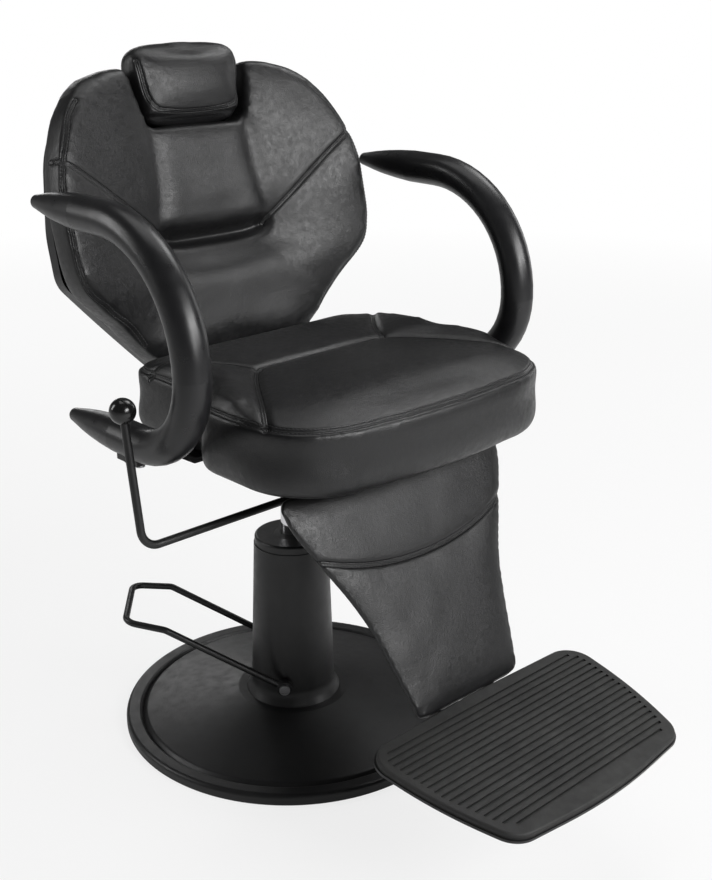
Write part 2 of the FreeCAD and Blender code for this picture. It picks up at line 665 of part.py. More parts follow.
def make_pump():
    foot = size("plate_thickness")
    flange_top = foot + size("flange_thickness")
    bore = size("ram_radius") + size("ram_fit")
    housing = new_body("pump_housing")
    revolve(housing, outline(new_sketch(housing, "XZ"), [
        (0, foot),
        (size("flange_radius"), foot),
        (size("flange_radius"), flange_top),
        (size("housing_radius"), flange_top),
        (size("housing_radius"), size("cover_top")),
        (bore, size("cover_top")),
        (bore, size("bore_bottom")),
        (0, size("bore_bottom")),
    ]))
    cross = new_sketch(housing, "XZ")
    circle(cross, size("lever_pivot_out"), size("lever_pivot_height"), size("shaft_radius") + size("ram_fit"))
    cut_through(housing, cross)
    lever_place(housing)

    top = flange_top
    holes = new_sketch(housing, "XY")
    spots = []
    count = int(values["flange_bolt_count"])
    for number in range(count):
        turn = as_size(360.0 / count * (number + 0.5))
        x = size("flange_bolt_circle") * cosine(turn)
        y = size("flange_bolt_circle") * sine(turn)
        circle(holes, x, y, size("flange_bolt_radius") + size("ram_fit"))
        spots.append(Vector(x.value, y.value, top.value))
    cut_through(housing, holes)
    bolts = [bolt_shape(spot, Vector(0, 0, -1), values["flange_bolt_radius"],
                        values["flange_thickness"], 2 * values["flange_bolt_radius"],
                        values["flange_bolt_radius"]) for spot in spots]
    solid_piece("pump_bolts", Part.makeCompound(bolts), lever_place)

    wall = size("cover_wall")
    foot_radius = size("cover_foot_radius")
    knee = size("dome_top") + size("cover_flare_height")
    cover = new_body("pump_cover")
    revolve(cover, outline(new_sketch(cover, "XZ"), [
        (foot_radius + size("cover_flare"), size("dome_top")),
        (foot_radius, knee, 2 * size("cover_flare_height")),
        (size("cover_top_radius"), size("cover_top")),
        (size("cover_top_radius") - wall, size("cover_top")),
        (foot_radius - wall, knee, 2 * size("cover_flare_height")),
        (foot_radius + size("cover_flare") - wall, size("dome_top")),
    ]))
    cross = new_sketch(cover, "XZ")
    circle(cross, size("lever_pivot_out"), size("lever_pivot_height"),
           size("shaft_radius") + size("shaft_hole_play"))
    cut_through(cover, cross)
    lever_place(cover)

    edge = size("cover_top_radius") - size("cap_step")
    revolved("pump_cap", [
        (size("seal_radius"), size("cover_top")),
        (size("cover_top_radius"), size("cover_top")),
        (size("cover_top_radius"), size("cover_top") + size("cap_step")),
        (edge, size("cover_top") + size("cap_step")),
        (edge, cap_top, size("cap_round")),
        (size("seal_radius"), cap_top),
    ])
    inner = size("ram_radius") + size("seat_gap")
    revolved("ram_seal", [
        (inner, cap_top - size("seal_height")),
        (size("seal_radius") - size("seat_gap"), cap_top - size("seal_height")),
        (size("seal_radius") - size("seat_gap"), cap_top),
        (inner + 2 * size("cap_step"), cap_top + size("cap_step")),
        (inner, cap_top + size("cap_step")),
    ])


def make_foot_lever():
    half = size("lever_half_width")
    shaft = new_body("lever_shaft")
    reach = half + size("eye_length") / 2
    sketch = new_sketch(shaft, "XZ", -reach)
    circle(sketch, size("lever_pivot_out"), size("lever_pivot_height"), size("shaft_radius"))
    pad(shaft, sketch, 2 * reach)
    lever_place(shaft)

    width = values["lever_half_width"]
    narrow = width - values["lever_end_narrowing"]
    pivot = Vector(values["lever_pivot_out"], 0, values["lever_pivot_height"])
    kink = Vector(values["lever_kink_out"], 0, values["lever_kink_height"])
    end = Vector(values["lever_end_out"], 0, values["lever_end_height"])
    start = pivot + (kink - pivot).normalize() * (values["shaft_radius"] + values["lever_wire_radius"] / 2)
    route = [(start, width), (kink, width), (end, narrow), (end, -narrow), (kink, -width), (start, -width)]
    points = [spot + Y_AXIS * across for spot, across in route]
    lever = rod_along(points, values["lever_bend"], values["lever_wire_radius"])
    for across in (width, -width):
        low = pivot + Y_AXIS * (across - values["eye_length"] / 2)
        eye = Part.makeCylinder(values["eye_radius"], values["eye_length"], low, Y_AXIS)
        lever = lever.fuse(eye)
    low = pivot - Y_AXIS * (width + values["eye_length"])
    bore = Part.makeCylinder(values["shaft_radius"] + values["ram_fit"],
                             2 * (width + values["eye_length"]), low, Y_AXIS)
    solid_piece("pump_lever", lever.cut(bore), lever_place)

    end_reach = width + values["eye_length"] / 2
    heads = []
    for way in (1, -1):
        spot = pivot + Y_AXIS * (way * end_reach)
        heads.append(Part.makeCylinder(values["lever_screw_radius"], values["lever_screw_head"],
                                       spot, Y_AXIS * way))
    solid_piece("lever_screws", Part.makeCompound(heads), lever_place)


def make_ram():
    shoulder = frame_z - size("washer_thickness")
    foot = size("bore_bottom") + size("lift_down") + size("ram_foot_play")
    top = frame_z + size("mount_thickness") + size("boss_height") - size("spigot_end_play")
    revolved("ram", [
        (0, foot),
        (size("ram_radius"), foot),
        (size("ram_radius"), shoulder),
        (size("spigot_radius"), shoulder),
        (size("spigot_radius"), top),
        (0, top),
    ])
    revolved("thrust_washer", [
        (size("spigot_radius") + size("ram_fit"), shoulder),
        (size("washer_radius"), shoulder),
        (size("washer_radius"), frame_z - size("ram_fit")),
        (size("spigot_radius") + size("ram_fit"), frame_z - size("ram_fit")),
    ])


# Underframe and seat


def make_mount():
    body = new_body("mount_plate")
    bore = size("spigot_radius") + size("ram_fit")
    wide = size("mount_half_width")
    deep = size("mount_half_depth")
    corner = size("mount_corner")
    sketch = new_sketch(body, "XY")
    outline(sketch, both_sides([(wide, -deep, corner), (wide, deep, corner)]))
    circle(sketch, 0, 0, bore)
    pad(body, sketch, size("mount_thickness"))
    boss = new_sketch(body, "XY", size("mount_thickness"))
    circle(boss, 0, 0, size("boss_radius"))
    circle(boss, 0, 0, bore)
    pad(body, boss, size("boss_height"))
    seat_place(body)


def make_side_plate(name, way):
    body = new_body(f"side_plate_{name}")
    lug = size("side_lug_radius")
    back_y, back_z = size("back_pivot_y"), size("back_pivot_rise")
    leg_y, leg_z = size("leg_pivot_y"), size("leg_pivot_rise")
    top = size("frame_height")
    low = -size("side_drop")
    inner = plate_inner if way > 0 else -plate_outer
    sketch = new_sketch(body, "YZ", inner)
    outline(sketch, [
        (size("flange_front") - lug / 4, top),
        (size("flange_front") - lug, leg_z + lug * 1.4, lug),
        (leg_y - lug, leg_z + lug, lug * 0.8),
        (leg_y - lug, leg_z - lug, lug * 0.9),
        (size("rod_y") - lug, low, lug),
        (size("mount_half_depth") - lug, low, lug),
        (back_y + lug, back_z - lug, lug * 0.9),
        (back_y + lug, back_z + lug, lug * 0.9),
        (size("flange_rear") + lug / 4, top, lug / 2),
    ])
    hole = size("pivot_radius") + size("ram_fit")
    circle(sketch, back_y, back_z, hole)
    circle(sketch, leg_y, leg_z, hole)
    circle(sketch, size("rod_y"), size("rod_rise"), size("rod_radius") + size("ram_fit"))
    if way < 0:
        circle(sketch, size("spring_front"), spring_height, size("link_pin_radius") + size("ram_fit"))
    pad(body, sketch, size("side_thickness"))
    outer = plate_inner if way > 0 else -plate_inner - size("flange_width")
    flange = new_sketch(body, "XY", top - size("flange_sheet"))
    far = outer + size("flange_width")
    outline(flange, [
        (outer, size("flange_front")),
        (far, size("flange_front")),
        (far, size("flange_rear")),
        (outer, size("flange_rear")),
    ])
    for spot in flange_bolt_places:
        circle(flange, way * flange_bolt_x, spot, size("bolt_radius") + size("ram_fit"))
    pad(body, flange, size("flange_sheet"))
    seat_place(body)


half_angle_cosine = cosine(half_recline)
spring_height = size("back_pivot_rise") - size("spring_crank") * (1 + half_angle_cosine) / 2
flange_bolt_x = plate_outer + (size("flange_width") - size("side_thickness")) / 2
flange_bolt_places = [
    size("flange_front") + 2 * size("bolt_head_radius"),
    size("flange_rear") - 2 * size("bolt_head_radius"),
]


# The cushion widens along a line at 45 degrees, which moves forward by this share of the inset.
STEP_SHIFT = math.tan(math.pi / 8)


def cushion_outline(inset, height):
    """The seat cushion's T-shaped outline, drawn in by inset, at a height."""
    lobe = values["cushion_lobe"] - inset
    waist = values["cushion_waist"] - inset
    front = values["cushion_front"] + inset
    rear = values["cushion_rear"] - inset
    bow = values["cushion_front"] - values["cushion_bow"] + inset
    slope = (lobe - waist) / 2
    step = values["cushion_step"] - inset * STEP_SHIFT
    right_side = [
        (waist, rear, values["rear_corner"] - inset / 2),
        (waist, step + slope, values["step_corner"] + inset),
        (lobe, step - slope, values["step_corner"] - inset / 3),
        (lobe, front, values["front_corner"] - inset / 2),
    ]
    left_side = [(-x, y, radius) for x, y, radius in reversed(right_side)]
    loop = right_side + [(0, bow, values["bow_round"])] + left_side
    points = [Vector(x, y, height) for x, y, radius in loop]
    return rounded_wire(points, [radius for x, y, radius in loop])


def board_recess(height):
    """The outline of the space for the seat board in the cushion's underside."""
    inset = values["board_inset"] - values["seat_gap"]
    lobe, waist = values["cushion_lobe"] - inset, values["cushion_waist"] - inset
    front, rear = values["cushion_front"] + inset, values["cushion_rear"] - inset
    step = values["cushion_step"] - values["board_inset"] + values["seat_gap"]
    corner = values["board_corner"]
    half = [(waist, rear, corner), (waist, step, corner), (lobe, step, corner),
            (lobe, front, values["front_corner"] - inset)]
    loop = half + [(-x, y, radius) for x, y, radius in reversed(half)]
    return rounded_wire([Vector(x, y, height) for x, y, radius in loop], [radius for x, y, radius in loop])


# Rounding of a bolster under the cushion's top, and where its inner side meets the top.
BOLSTER_FOOT_ROUND = 1
BOLSTER_SEAM_ROUND = 3


def bolster(way, base):
    """A raised side bolster: widest beside the middle panel's rear corner, running out to both ends."""
    sink = values["channel_radius"] * 2
    waist = values["cushion_waist"] - values["bolster_edge"]
    lobe = values["cushion_lobe"] - values["bolster_edge"]
    step, turn = values["cushion_step"], values["step_corner"]
    apex_x, apex_y = values["panel_half_rear"], values["panel_rear"]
    rear, front = values["bolster_rear"], values["bolster_front"]
    high, fold = values["bolster_rise"], values["bolster_round"]
    # Along the bolster: place, inner edge, outer edge and share of the full height.
    stations = [
        (rear, waist - 2 * fold, waist - fold / 4, 0.3),
        (rear - fold, waist - 3 * fold, waist, 0.6),
        (apex_y / 3, (apex_x + waist) / 2 - fold, waist, 0.9),
        (apex_y, apex_x + fold / 2, waist, 1),
        (step, apex_x + 3 * fold, waist, 1),
        (step - turn, apex_x + 5 * fold, lobe - fold / 4, 0.9),
        ((step - turn + front) / 2, lobe - 3 * fold, lobe, 0.78),
        (front, lobe - 2 * fold, lobe - fold / 2, 0.35),
    ]
    wires = []
    for y, near, far, share in stations:
        top = base + high * share
        points = [Vector(way * near, y, base - sink), Vector(way * far, y, base - sink),
                  Vector(way * far, y, top), Vector(way * near, y, base + high * share * 0.55)]
        ridge = min(fold, high * share * 0.5)
        radii = [BOLSTER_FOOT_ROUND, BOLSTER_FOOT_ROUND, ridge, BOLSTER_SEAM_ROUND]
        wires.append(rounded_wire(points, radii))
    return lofted(wires, ruled=True)


# The seat cushion from its underside to its crown: drawn in, share of its depth, share of its crown.
SEAT_LEVELS = [(14, 0, 0), (4, 0.08, 0), (0, 0.24, 0), (values["cushion_draw"], 0.55, 0), (1, 0.9, 0),
               (2, 1, 0), (12, 1, 0.42), (24, 1, 0.72), (33, 1, 1)]


def make_seat():
    board = new_body("seat_board")
    inset = size("board_inset")
    lobe, waist = size("cushion_lobe") - inset, size("cushion_waist") - inset
    front, rear = size("cushion_front") + inset, size("cushion_rear") - inset
    step = size("cushion_step") - inset
    corner = size("board_corner")
    sketch = new_sketch(board, "XY", size("frame_height"))
    outline(sketch, [
        (waist, rear, corner),
        (waist, step, corner),
        (lobe, step, corner),
        (lobe, front, size("front_corner") - inset),
        (-lobe, front, size("front_corner") - inset),
        (-lobe, step, corner),
        (-waist, step, corner),
        (-waist, rear, corner),
    ])
    for way in (1, -1):
        for spot in flange_bolt_places:
            circle(sketch, way * flange_bolt_x, spot, size("bolt_radius") + size("ram_fit"))
        for spot in bracket_bolt_x:
            circle(sketch, way * spot, bracket_middle, size("bolt_radius") + size("ram_fit"))
    pad(board, sketch, size("board_thickness"))
    seat_place(board)

    bottom = values["frame_height"] + values["cushion_lift"]
    depth = values["cushion_depth"]
    crown = values["cushion_crown"]
    wires = [cushion_outline(drawn_in, bottom + depth * share + crown * swell)
             for drawn_in, share, swell in SEAT_LEVELS]
    cushion = lofted(wires)
    for way in (1, -1):
        cushion = cushion.fuse(bolster(way, bottom + depth))
    recess_top = values["frame_height"] + values["board_thickness"] + values["seat_gap"]
    recess = Part.Face(board_recess(bottom)).extrude(Z_AXIS * (recess_top - bottom))
    cushion = cushion.cut(recess)
    top = bottom + depth + crown + values["channel_radius"] * 0.25
    seam_corner = Vector(values["panel_half_rear"], values["panel_rear"], top)
    seam_end = Vector(values["panel_half_front"], values["panel_front"], top)
    other_corner = Vector(-seam_corner.x, seam_corner.y, top)
    other_end = Vector(-seam_end.x, seam_end.y, top)
    bend = values["channel_radius"] * 5
    seam = rod_along([seam_end, seam_corner, other_corner, other_end], bend, values["channel_radius"])
    solid_piece("seat_cushion", cushion.cut(seam), seat_place)

    bolts = []
    length = values["flange_sheet"] + values["board_thickness"]
    low = values["frame_height"] - values["flange_sheet"]
    for way in (1, -1):
        for spot in flange_bolt_places:
            foot = Vector(way * flange_bolt_x.value, spot.value, low)
            bolts.append(bolt_shape(foot, Z_AXIS, values["bolt_radius"], length,
                                    values["bolt_head_radius"], values["bolt_head"]))
        length_here = values["bracket_sheet"] + values["board_thickness"]
        bracket_low = values["frame_height"] - values["bracket_sheet"]
        for spot in bracket_bolt_x:
            foot = Vector(way * spot.value, bracket_middle.value, bracket_low)
            bolts.append(bolt_shape(foot, Z_AXIS, values["bolt_radius"], length_here,
                                    values["bolt_head_radius"], values["bolt_head"]))
    solid_piece("seat_bolts", Part.makeCompound(bolts), seat_place)


# Arms

bracket_middle = size("bracket_front") + size("bracket_width") / 2
bracket_bolt_x = [
    size("bracket_inner") + 2 * size("bolt_head_radius"),
    size("bracket_bend") - 7 * size("bolt_head_radius"),
]
arm_seat = size("tube_low") - size("tube_radius") + size("tube_flat")


def arm_path():
    """An arm's centre line without its tips: lower run, two quarter turns and upper run."""
    mid, low, top = values["tube_mid"], values["tube_low"], values["tube_top"]
    front, taper = values["tube_front"], values["tube_tip_length"]
    low_round, top_round = mid - low, top - mid
    low_centre = Vector(0, front + low_round, mid)
    top_centre = Vector(0, front + top_round, mid)
    half = math.sqrt(0.5)
    low_start = low_centre - Z_AXIS * low_round
    foremost = Vector(0, front, mid)
    top_end = top_centre + Z_AXIS * top_round
    low_tip = Vector(0, values["tube_low_tip"] - taper, low)
    top_tip = Vector(0, values["tube_top_tip"] - taper, top)
    return low_tip, top_tip, Part.Wire([
        Part.LineSegment(low_tip, low_start).toShape(),
        Part.Arc(low_start, low_centre - (Y_AXIS + Z_AXIS) * (half * low_round), foremost).toShape(),
        Part.Arc(foremost, top_centre + (Z_AXIS - Y_AXIS) * (half * top_round), top_end).toShape(),
        Part.LineSegment(top_end, top_tip).toShape(),
    ])


# An arm's tip, where its curve bends: share of the tip's length, and of the narrowing still to come.
TIP_BEND_SHARE = 0.5
TIP_BEND_WIDTH = 0.62


def arm_tip(start):
    """A turned tip that runs backwards from start and gets slimmer in a soft curve."""
    full, tip, length = values["tube_radius"], values["tube_tip_radius"], values["tube_tip_length"]
    slope = start + Y_AXIS * (length * TIP_BEND_SHARE) + Z_AXIS * (tip + (full - tip) * TIP_BEND_WIDTH)
    shoulder = start + Y_AXIS * (length - tip) + Z_AXIS * tip
    half = math.sqrt(0.5)
    nose = start + Y_AXIS * (length - tip * (1 - half)) + Z_AXIS * (tip * half)
    point = start + Y_AXIS * length
    edges = [
        Part.LineSegment(start, start + Z_AXIS * full).toShape(),
        Part.Arc(start + Z_AXIS * full, slope, shoulder).toShape(),
        Part.Arc(shoulder, nose, point).toShape(),
        Part.LineSegment(point, start).toShape(),
    ]
    return Part.Face(Part.Wire(edges)).revolve(start, Y_AXIS, 360)


def make_arm(name, way):
    low_tip, top_tip, path = arm_path()
    ring = Part.Wire([Part.Circle(low_tip, Y_AXIS, values["tube_radius"]).toShape()])
    arm = path.makePipeShell([ring], True, False)
    for start in (low_tip, top_tip):
        arm = arm.fuse(arm_tip(start))
    arm = arm.removeSplitter()
    arm.translate(X_AXIS * (way * values["tube_x"]))
    flat = Part.makeBox(4 * values["tube_radius"], values["bracket_width"], values["tube_radius"],
                        Vector(way * values["tube_x"] - 2 * values["tube_radius"], values["bracket_front"],
                               arm_seat.value - values["tube_radius"]))
    arm = arm.cut(flat)
    bolts = []
    for side in (1, -1):
        spot = Vector(way * values["tube_x"], bracket_middle.value + side * values["bolt_spread"] / 2,
                      arm_seat.value - values["bracket_sheet"])
        hole = Part.makeCylinder(values["bolt_radius"] + values["ram_fit"],
                                 values["bracket_sheet"] + values["bolt_grip"] + values["bolt_radius"], spot)
        arm = arm.cut(hole)
        bolts.append(bolt_shape(spot, Z_AXIS, values["bolt_radius"],
                                values["bracket_sheet"] + values["bolt_grip"],
                                values["bolt_head_radius"], values["bolt_head"]))
    solid_piece(f"arm_{name}", arm, seat_place)

    body = new_body(f"arm_bracket_{name}")
    top, sheet_thick = size("frame_height"), size("bracket_sheet")
    bend, run = size("bracket_bend"), size("bracket_rise_run")
    corners = [
        (size("bracket_inner"), top),
        (bend, top, sheet_thick),
        (bend + run, arm_seat, sheet_thick),
        (size("bracket_outer"), arm_seat),
        (size("bracket_outer"), arm_seat - sheet_thick),
        (bend + run + sheet_thick / 2, arm_seat - sheet_thick, sheet_thick),
        (bend + sheet_thick / 2, top - sheet_thick, sheet_thick),
        (size("bracket_inner"), top - sheet_thick),
    ]
    sketch = new_sketch(body, "XZ", -(size("bracket_front") + size("bracket_width")))
    outline(sketch, [(way * corner[0], *corner[1:]) for corner in corners])
    pad(body, sketch, size("bracket_width"))
    holes = new_sketch(body, "XY")
    for spot in bracket_bolt_x:
        circle(holes, way * spot, bracket_middle, size("bolt_radius") + size("ram_fit"))
    for side in (1, -1):
        circle(holes, way * size("tube_x"), bracket_middle + side * size("bolt_spread") / 2,
               size("bolt_radius") + size("ram_fit"))
    cut_through(body, holes)
    seat_place(body)
    return bolts


# Recline: hinge bolts, lever, gas spring and link


def hinge_bolts(label, y, z):
    bolts = []
    for way in (1, -1):
        head_at = arm_outer.value + values["head_play"]
        spot = Vector(way * head_at, y.value, z.value)
        inward = Vector(-way, 0, 0)
        length = head_at - plate_inner.value + values["pivot_head"]
        bolt = bolt_shape(spot, inward, values["pivot_radius"], length, values["pivot_head_radius"],
                          values["pivot_head"])
        nut_at = Vector(way * plate_inner.value, y.value, z.value)
        nut = Part.makeCylinder(values["pivot_head_radius"], values["pivot_head"], nut_at, inward)
        bolts.append(bolt.fuse(nut).removeSplitter())
    solid_piece(label, Part.makeCompound(bolts), seat_place)


def make_recline_lever():
    lean = math.radians(values["handle_lean"])
    up = Vector(0, math.sin(lean), math.cos(lean))
    axis = Vector(0, values["rod_y"], values["rod_rise"])
    inner = axis + X_AXIS * values["rod_inner"]
    corner = axis + X_AXIS * values["rod_outer"]
    knob = corner + up * values["handle_length"]
    end = knob - up * (values["knob_radius"] * 0.4)
    rod = rod_along([inner, corner, end], values["rod_bend"], values["rod_radius"])
    foot = axis + X_AXIS * values["spring_x"]
    finger = Part.makeCylinder(values["finger_radius"], values["finger_length"], foot, Z_AXIS)
    solid_piece("recline_lever", rod.fuse(finger), seat_place)

    ball = Part.makeSphere(values["knob_radius"], knob)
    socket = Part.makeCylinder(values["rod_radius"] + values["ram_fit"], 2 * values["knob_radius"],
                               end - up * (2 * values["knob_radius"]), up)
    solid_piece("recline_knob", ball.cut(socket), seat_place)

    rings = []
    for start in (plate_inner.value - values["plate_play"] - values["ring_width"],
                  -plate_inner.value + values["plate_play"]):
        low = axis + X_AXIS * start
        ring = Part.makeCylinder(values["ring_radius"], values["ring_width"], low, X_AXIS)
        bore = Part.makeCylinder(values["rod_radius"] + values["ram_fit"], values["ring_width"], low, X_AXIS)
        rings.append(ring.cut(bore))
    solid_piece("lever_retainers", Part.makeCompound(rings), seat_place)


def make_gas_spring():
    x, z = values["spring_x"], spring_height.value
    half_eye = values["spring_eye_width"] / 2
    front = Vector(x, values["spring_front"], z)
    tube_start = front + Y_AXIS * (values["pin_head_radius"] + values["head_play"])
    tube = Part.makeCylinder(values["spring_tube_radius"], values["spring_tube_length"], tube_start, Y_AXIS)
    eye = Part.makeCylinder(values["spring_eye_radius"], values["spring_eye_width"],
                            front - X_AXIS * half_eye, X_AXIS)
    pin = Part.makeCylinder(values["release_radius"], values["release_reach"],
                            front - Y_AXIS * values["release_reach"], Y_AXIS)
    stud_radius = values["link_pin_radius"]
    stud_hole = Part.makeCylinder(stud_radius + values["ram_fit"], values["spring_eye_width"],
                                  front - X_AXIS * half_eye, X_AXIS)
    rod_hole = Part.makeCylinder(values["spring_rod_radius"] + values["ram_fit"],
                                 values["spring_tube_length"],
                                 tube_start + Y_AXIS * (2 * values["spring_eye_radius"]), Y_AXIS)
    body = tube.fuse(eye).fuse(pin).cut(stud_hole).cut(rod_hole)
    solid_piece("spring_cylinder", body, seat_place)

    start = Vector(-plate_inner.value, values["spring_front"], z)
    length = -x + half_eye - plate_inner.value
    stud = Part.makeCylinder(stud_radius, length, start, -X_AXIS)
    keeper = Part.makeCylinder(values["pin_head_radius"], values["pin_head"],
                               start - X_AXIS * length, -X_AXIS)
    collar_length = -x - half_eye - plate_outer.value
    collar = Part.makeCylinder(values["pin_head_radius"], collar_length - values["seat_gap"],
                               Vector(-plate_outer.value, values["spring_front"], z), -X_AXIS)
    solid_piece("spring_stud", stud.fuse(keeper).fuse(collar), seat_place)

    pin_spot = crank_point(values["spring_crank"], values["back_pivot_y"], values["back_pivot_rise"])
    rear = Vector(x, pin_spot.y, z)
    tube_end = tube_start + Y_AXIS * values["spring_tube_length"]
    inside = values["spring_tube_length"] / 2
    eye_rear = Part.makeCylinder(values["spring_eye_radius"], values["spring_eye_width"],
                                 rear - X_AXIS * half_eye, X_AXIS)
    rod = Part.makeCylinder(values["spring_rod_radius"],
                            (rear - tube_end).Length + inside - values["spring_eye_radius"] * 0.8,
                            tube_end - Y_AXIS * inside, Y_AXIS)
    play = Part.makeCylinder(stud_radius + values["spring_pin_play"], values["spring_eye_width"],
                             rear - X_AXIS * half_eye, X_AXIS)
    solid_piece("spring_rod", rod.fuse(eye_rear).cut(play), seat_place)

    reach = -x + half_eye - arm_inner.value
    start = Vector(-arm_inner.value, pin_spot.y, pin_spot.z)
    pin = Part.makeCylinder(stud_radius, reach + values["plate_play"], start, -X_AXIS)
    head_at = start - X_AXIS * (reach + values["plate_play"])
    head = Part.makeCylinder(values["pin_head_radius"], values["pin_head"], head_at, -X_AXIS)
    gap = -x - half_eye - arm_outer.value - values["plate_play"]
    collar = Part.makeCylinder(values["pin_head_radius"], gap,
                               Vector(-arm_outer.value, pin_spot.y, pin_spot.z), -X_AXIS)
    solid_piece("spring_pin", pin.fuse(head).fuse(collar), seat_place)


def crank_point(length, pivot_y, pivot_z):
    """Where a crank ends at rest: half the recline range behind straight down."""
    angle = math.radians(half_recline.value)
    return Vector(0, pivot_y + length * math.sin(angle), pivot_z - length * math.cos(angle))


def make_link():
    body = new_body("recline_link")
    crank = size("link_crank")
    shift_y, shift_z = crank * sine(half_recline), crank * cosine(half_recline)
    rear_y, rear_z = size("back_pivot_y") + shift_y, size("back_pivot_rise") - shift_z
    front_y, front_z = size("leg_pivot_y") + shift_y, size("leg_pivot_rise") - shift_z
    half = size("link_width") / 2
    tip = half * 0.95
    sketch = new_sketch(body, "YZ", link_inner)
    outline(sketch, [
        (rear_y + half, rear_z + half, tip),
        (front_y - half, front_z + half, tip),
        (front_y - half, front_z - half, tip),
        (rear_y + half, rear_z - half, tip),
    ])
    circle(sketch, rear_y, rear_z, size("link_pin_radius") + size("ram_fit"))
    circle(sketch, front_y, front_z, size("link_pin_radius") + size("open_pivot_play"))
    pad(body, sketch, size("arm_plate"))
    seat_place(body)

    for label, y, z in (("link_pin_back", rear_y, rear_z), ("link_pin_legrest", front_y, front_z)):
        start = Vector(arm_inner.value, y.value, z.value)
        length = link_outer.value + values["head_play"] - arm_inner.value
        pin = Part.makeCylinder(values["link_pin_radius"], length, start, X_AXIS)
        head = Part.makeCylinder(values["pin_head_radius"], values["pin_head"],
                                 start + X_AXIS * length, X_AXIS)
        solid_piece(label, pin.fuse(head), seat_place)


# Backrest, in its own frame: X to the left, Y backwards through the pad, Z up along the pad

curve = size("back_curve")
board_near = size("back_pad")
board_far = board_near + size("back_board_thickness")
cover_far = board_far + size("back_cover_thickness")


def back_corners(inset):
    """Half of the rear cover's outline, from the bottom to the top: across, up and rounding."""
    inset = as_size(inset)
    shoulder = size("shell_width") - size("shell_shoulder_in")
    crest = size("shell_width") - size("shell_crest_in")
    return [
        (size("shell_foot_width") - inset, size("back_bottom") + inset, size("back_foot_round")),
        (size("shell_width") - inset, size("back_hip"), size("back_hip_round")),
        (size("shell_width") - inset, size("shell_straight"), size("shell_round")),
        (shoulder - inset, size("shell_shoulder") - inset, size("shell_round")),
        (crest - inset, size("shell_crest") - inset, size("shell_round") / 2),
        (size("shell_top_width") - inset, size("shell_top") - inset, size("back_foot_round")),
    ]


def notch_corners(play, bottom):
    """Half of the headrest's notch, from its bottom upwards."""
    play = as_size(play)
    above = size("back_top") + size("headrest_height")
    return [
        (size("notch_width") - play, bottom + play, size("notch_round") / 2),
        (size("notch_top_width") - play, size("back_top")),
        (size("notch_top_width") - play, above),
    ]


def both_sides(half):
    return half + [(-corner[0], *corner[1:]) for corner in reversed(half)]


def curved_panel(label, near, far, inset, notch_bottom):
    """A plate that follows the backrest's curve and outline, with the headrest's notch."""
    body = new_body(label)
    sketch = new_sketch(body, "XY", size("back_bottom"))
    curved_band(sketch, curve, near, far, size("back_width"))
    pad(body, sketch, size("back_top") - size("back_bottom"))
    around = new_sketch(body, "XZ")
    margin = size("back_width") * 2
    outline(around, both_sides([(margin, size("back_bottom") * 2), (margin, size("back_top") * 2)]))
    outline(around, both_sides(back_corners(inset)))
    cut_through(body, around)
    notch = new_sketch(body, "XZ")
    outline(notch, both_sides(notch_corners(-as_size(inset), notch_bottom)))
    cut_through(body, notch)
    return body


def back_half_width(height):
    """Half width of the backrest's side at a height, following its rounded outline."""
    bottom, hip = values["back_bottom"], values["back_hip"]
    start, top = values["back_shoulder_start"], values["back_top"]
    wide, foot = values["back_width"], values["back_foot_width"]
    if height <= start:
        slope = (wide - foot) / (hip - bottom)
        past = (hip - height) * slope
        return wide - (past + math.sqrt(past ** 2 + values["back_hip_round"] ** 2 / 4)) / 2
    share = (height - start) / (top - start)
    narrow = values["notch_top_width"] + values["back_hip_round"] * 0.5
    return narrow + (wide - narrow) * math.sqrt(max(0, 1 - share ** values["back_shoulder_power"]))


def back_section(height, swell, crease, rounding):
    """One level of the back cushion: wrap-around front with a middle panel, sides and rear."""
    radius = values["back_curve"]
    wide = back_half_width(height) - rounding
    thick = values["back_pad"] - values["seat_gap"]

    def wrap(across, depth):
        return Vector(across, depth + math.sqrt(radius ** 2 - across ** 2) - radius, height)

    seam = wide - values["back_piping"]
    middle = min(values["crease_half"] * 1.25, seam * 0.6)
    half = (seam + middle) / 2
    front = rounding * 0.6
    rear = thick - rounding * 0.3
    tail = wide - values["back_tuck"]
    edges = [
        Part.Arc(wrap(-middle, front - swell * 0.5 + crease * 0.5), wrap(0, front - swell + crease),
                 wrap(middle, front - swell * 0.5 + crease * 0.5)),
        Part.Arc(wrap(middle, front - swell * 0.5 + crease * 0.5), wrap(half, front - swell * 0.6),
                 wrap(seam, front)),
        Part.Arc(wrap(seam, front), wrap(wide, front + (rear - front) * 0.45), wrap(tail, rear)),
        Part.Arc(wrap(tail, rear), wrap(0, rear), wrap(-tail, rear)),
        Part.Arc(wrap(-tail, rear), wrap(-wide, front + (rear - front) * 0.45), wrap(-seam, front)),
        Part.Arc(wrap(-seam, front), wrap(-half, front - swell * 0.6),
                 wrap(-middle, front - swell * 0.5 + crease * 0.5)),
    ]
    return Part.Wire([edge.toShape() for edge in edges])


# A wing seam from the backrest's side to its crease: share of its width, of its rise and of the crown.
WING_SEAM = [(1.02, 1.03, -0.1), (0.72, 0.72, 0.35), (0.36, 0.36, 0.55), (0, 0, 0.1)]


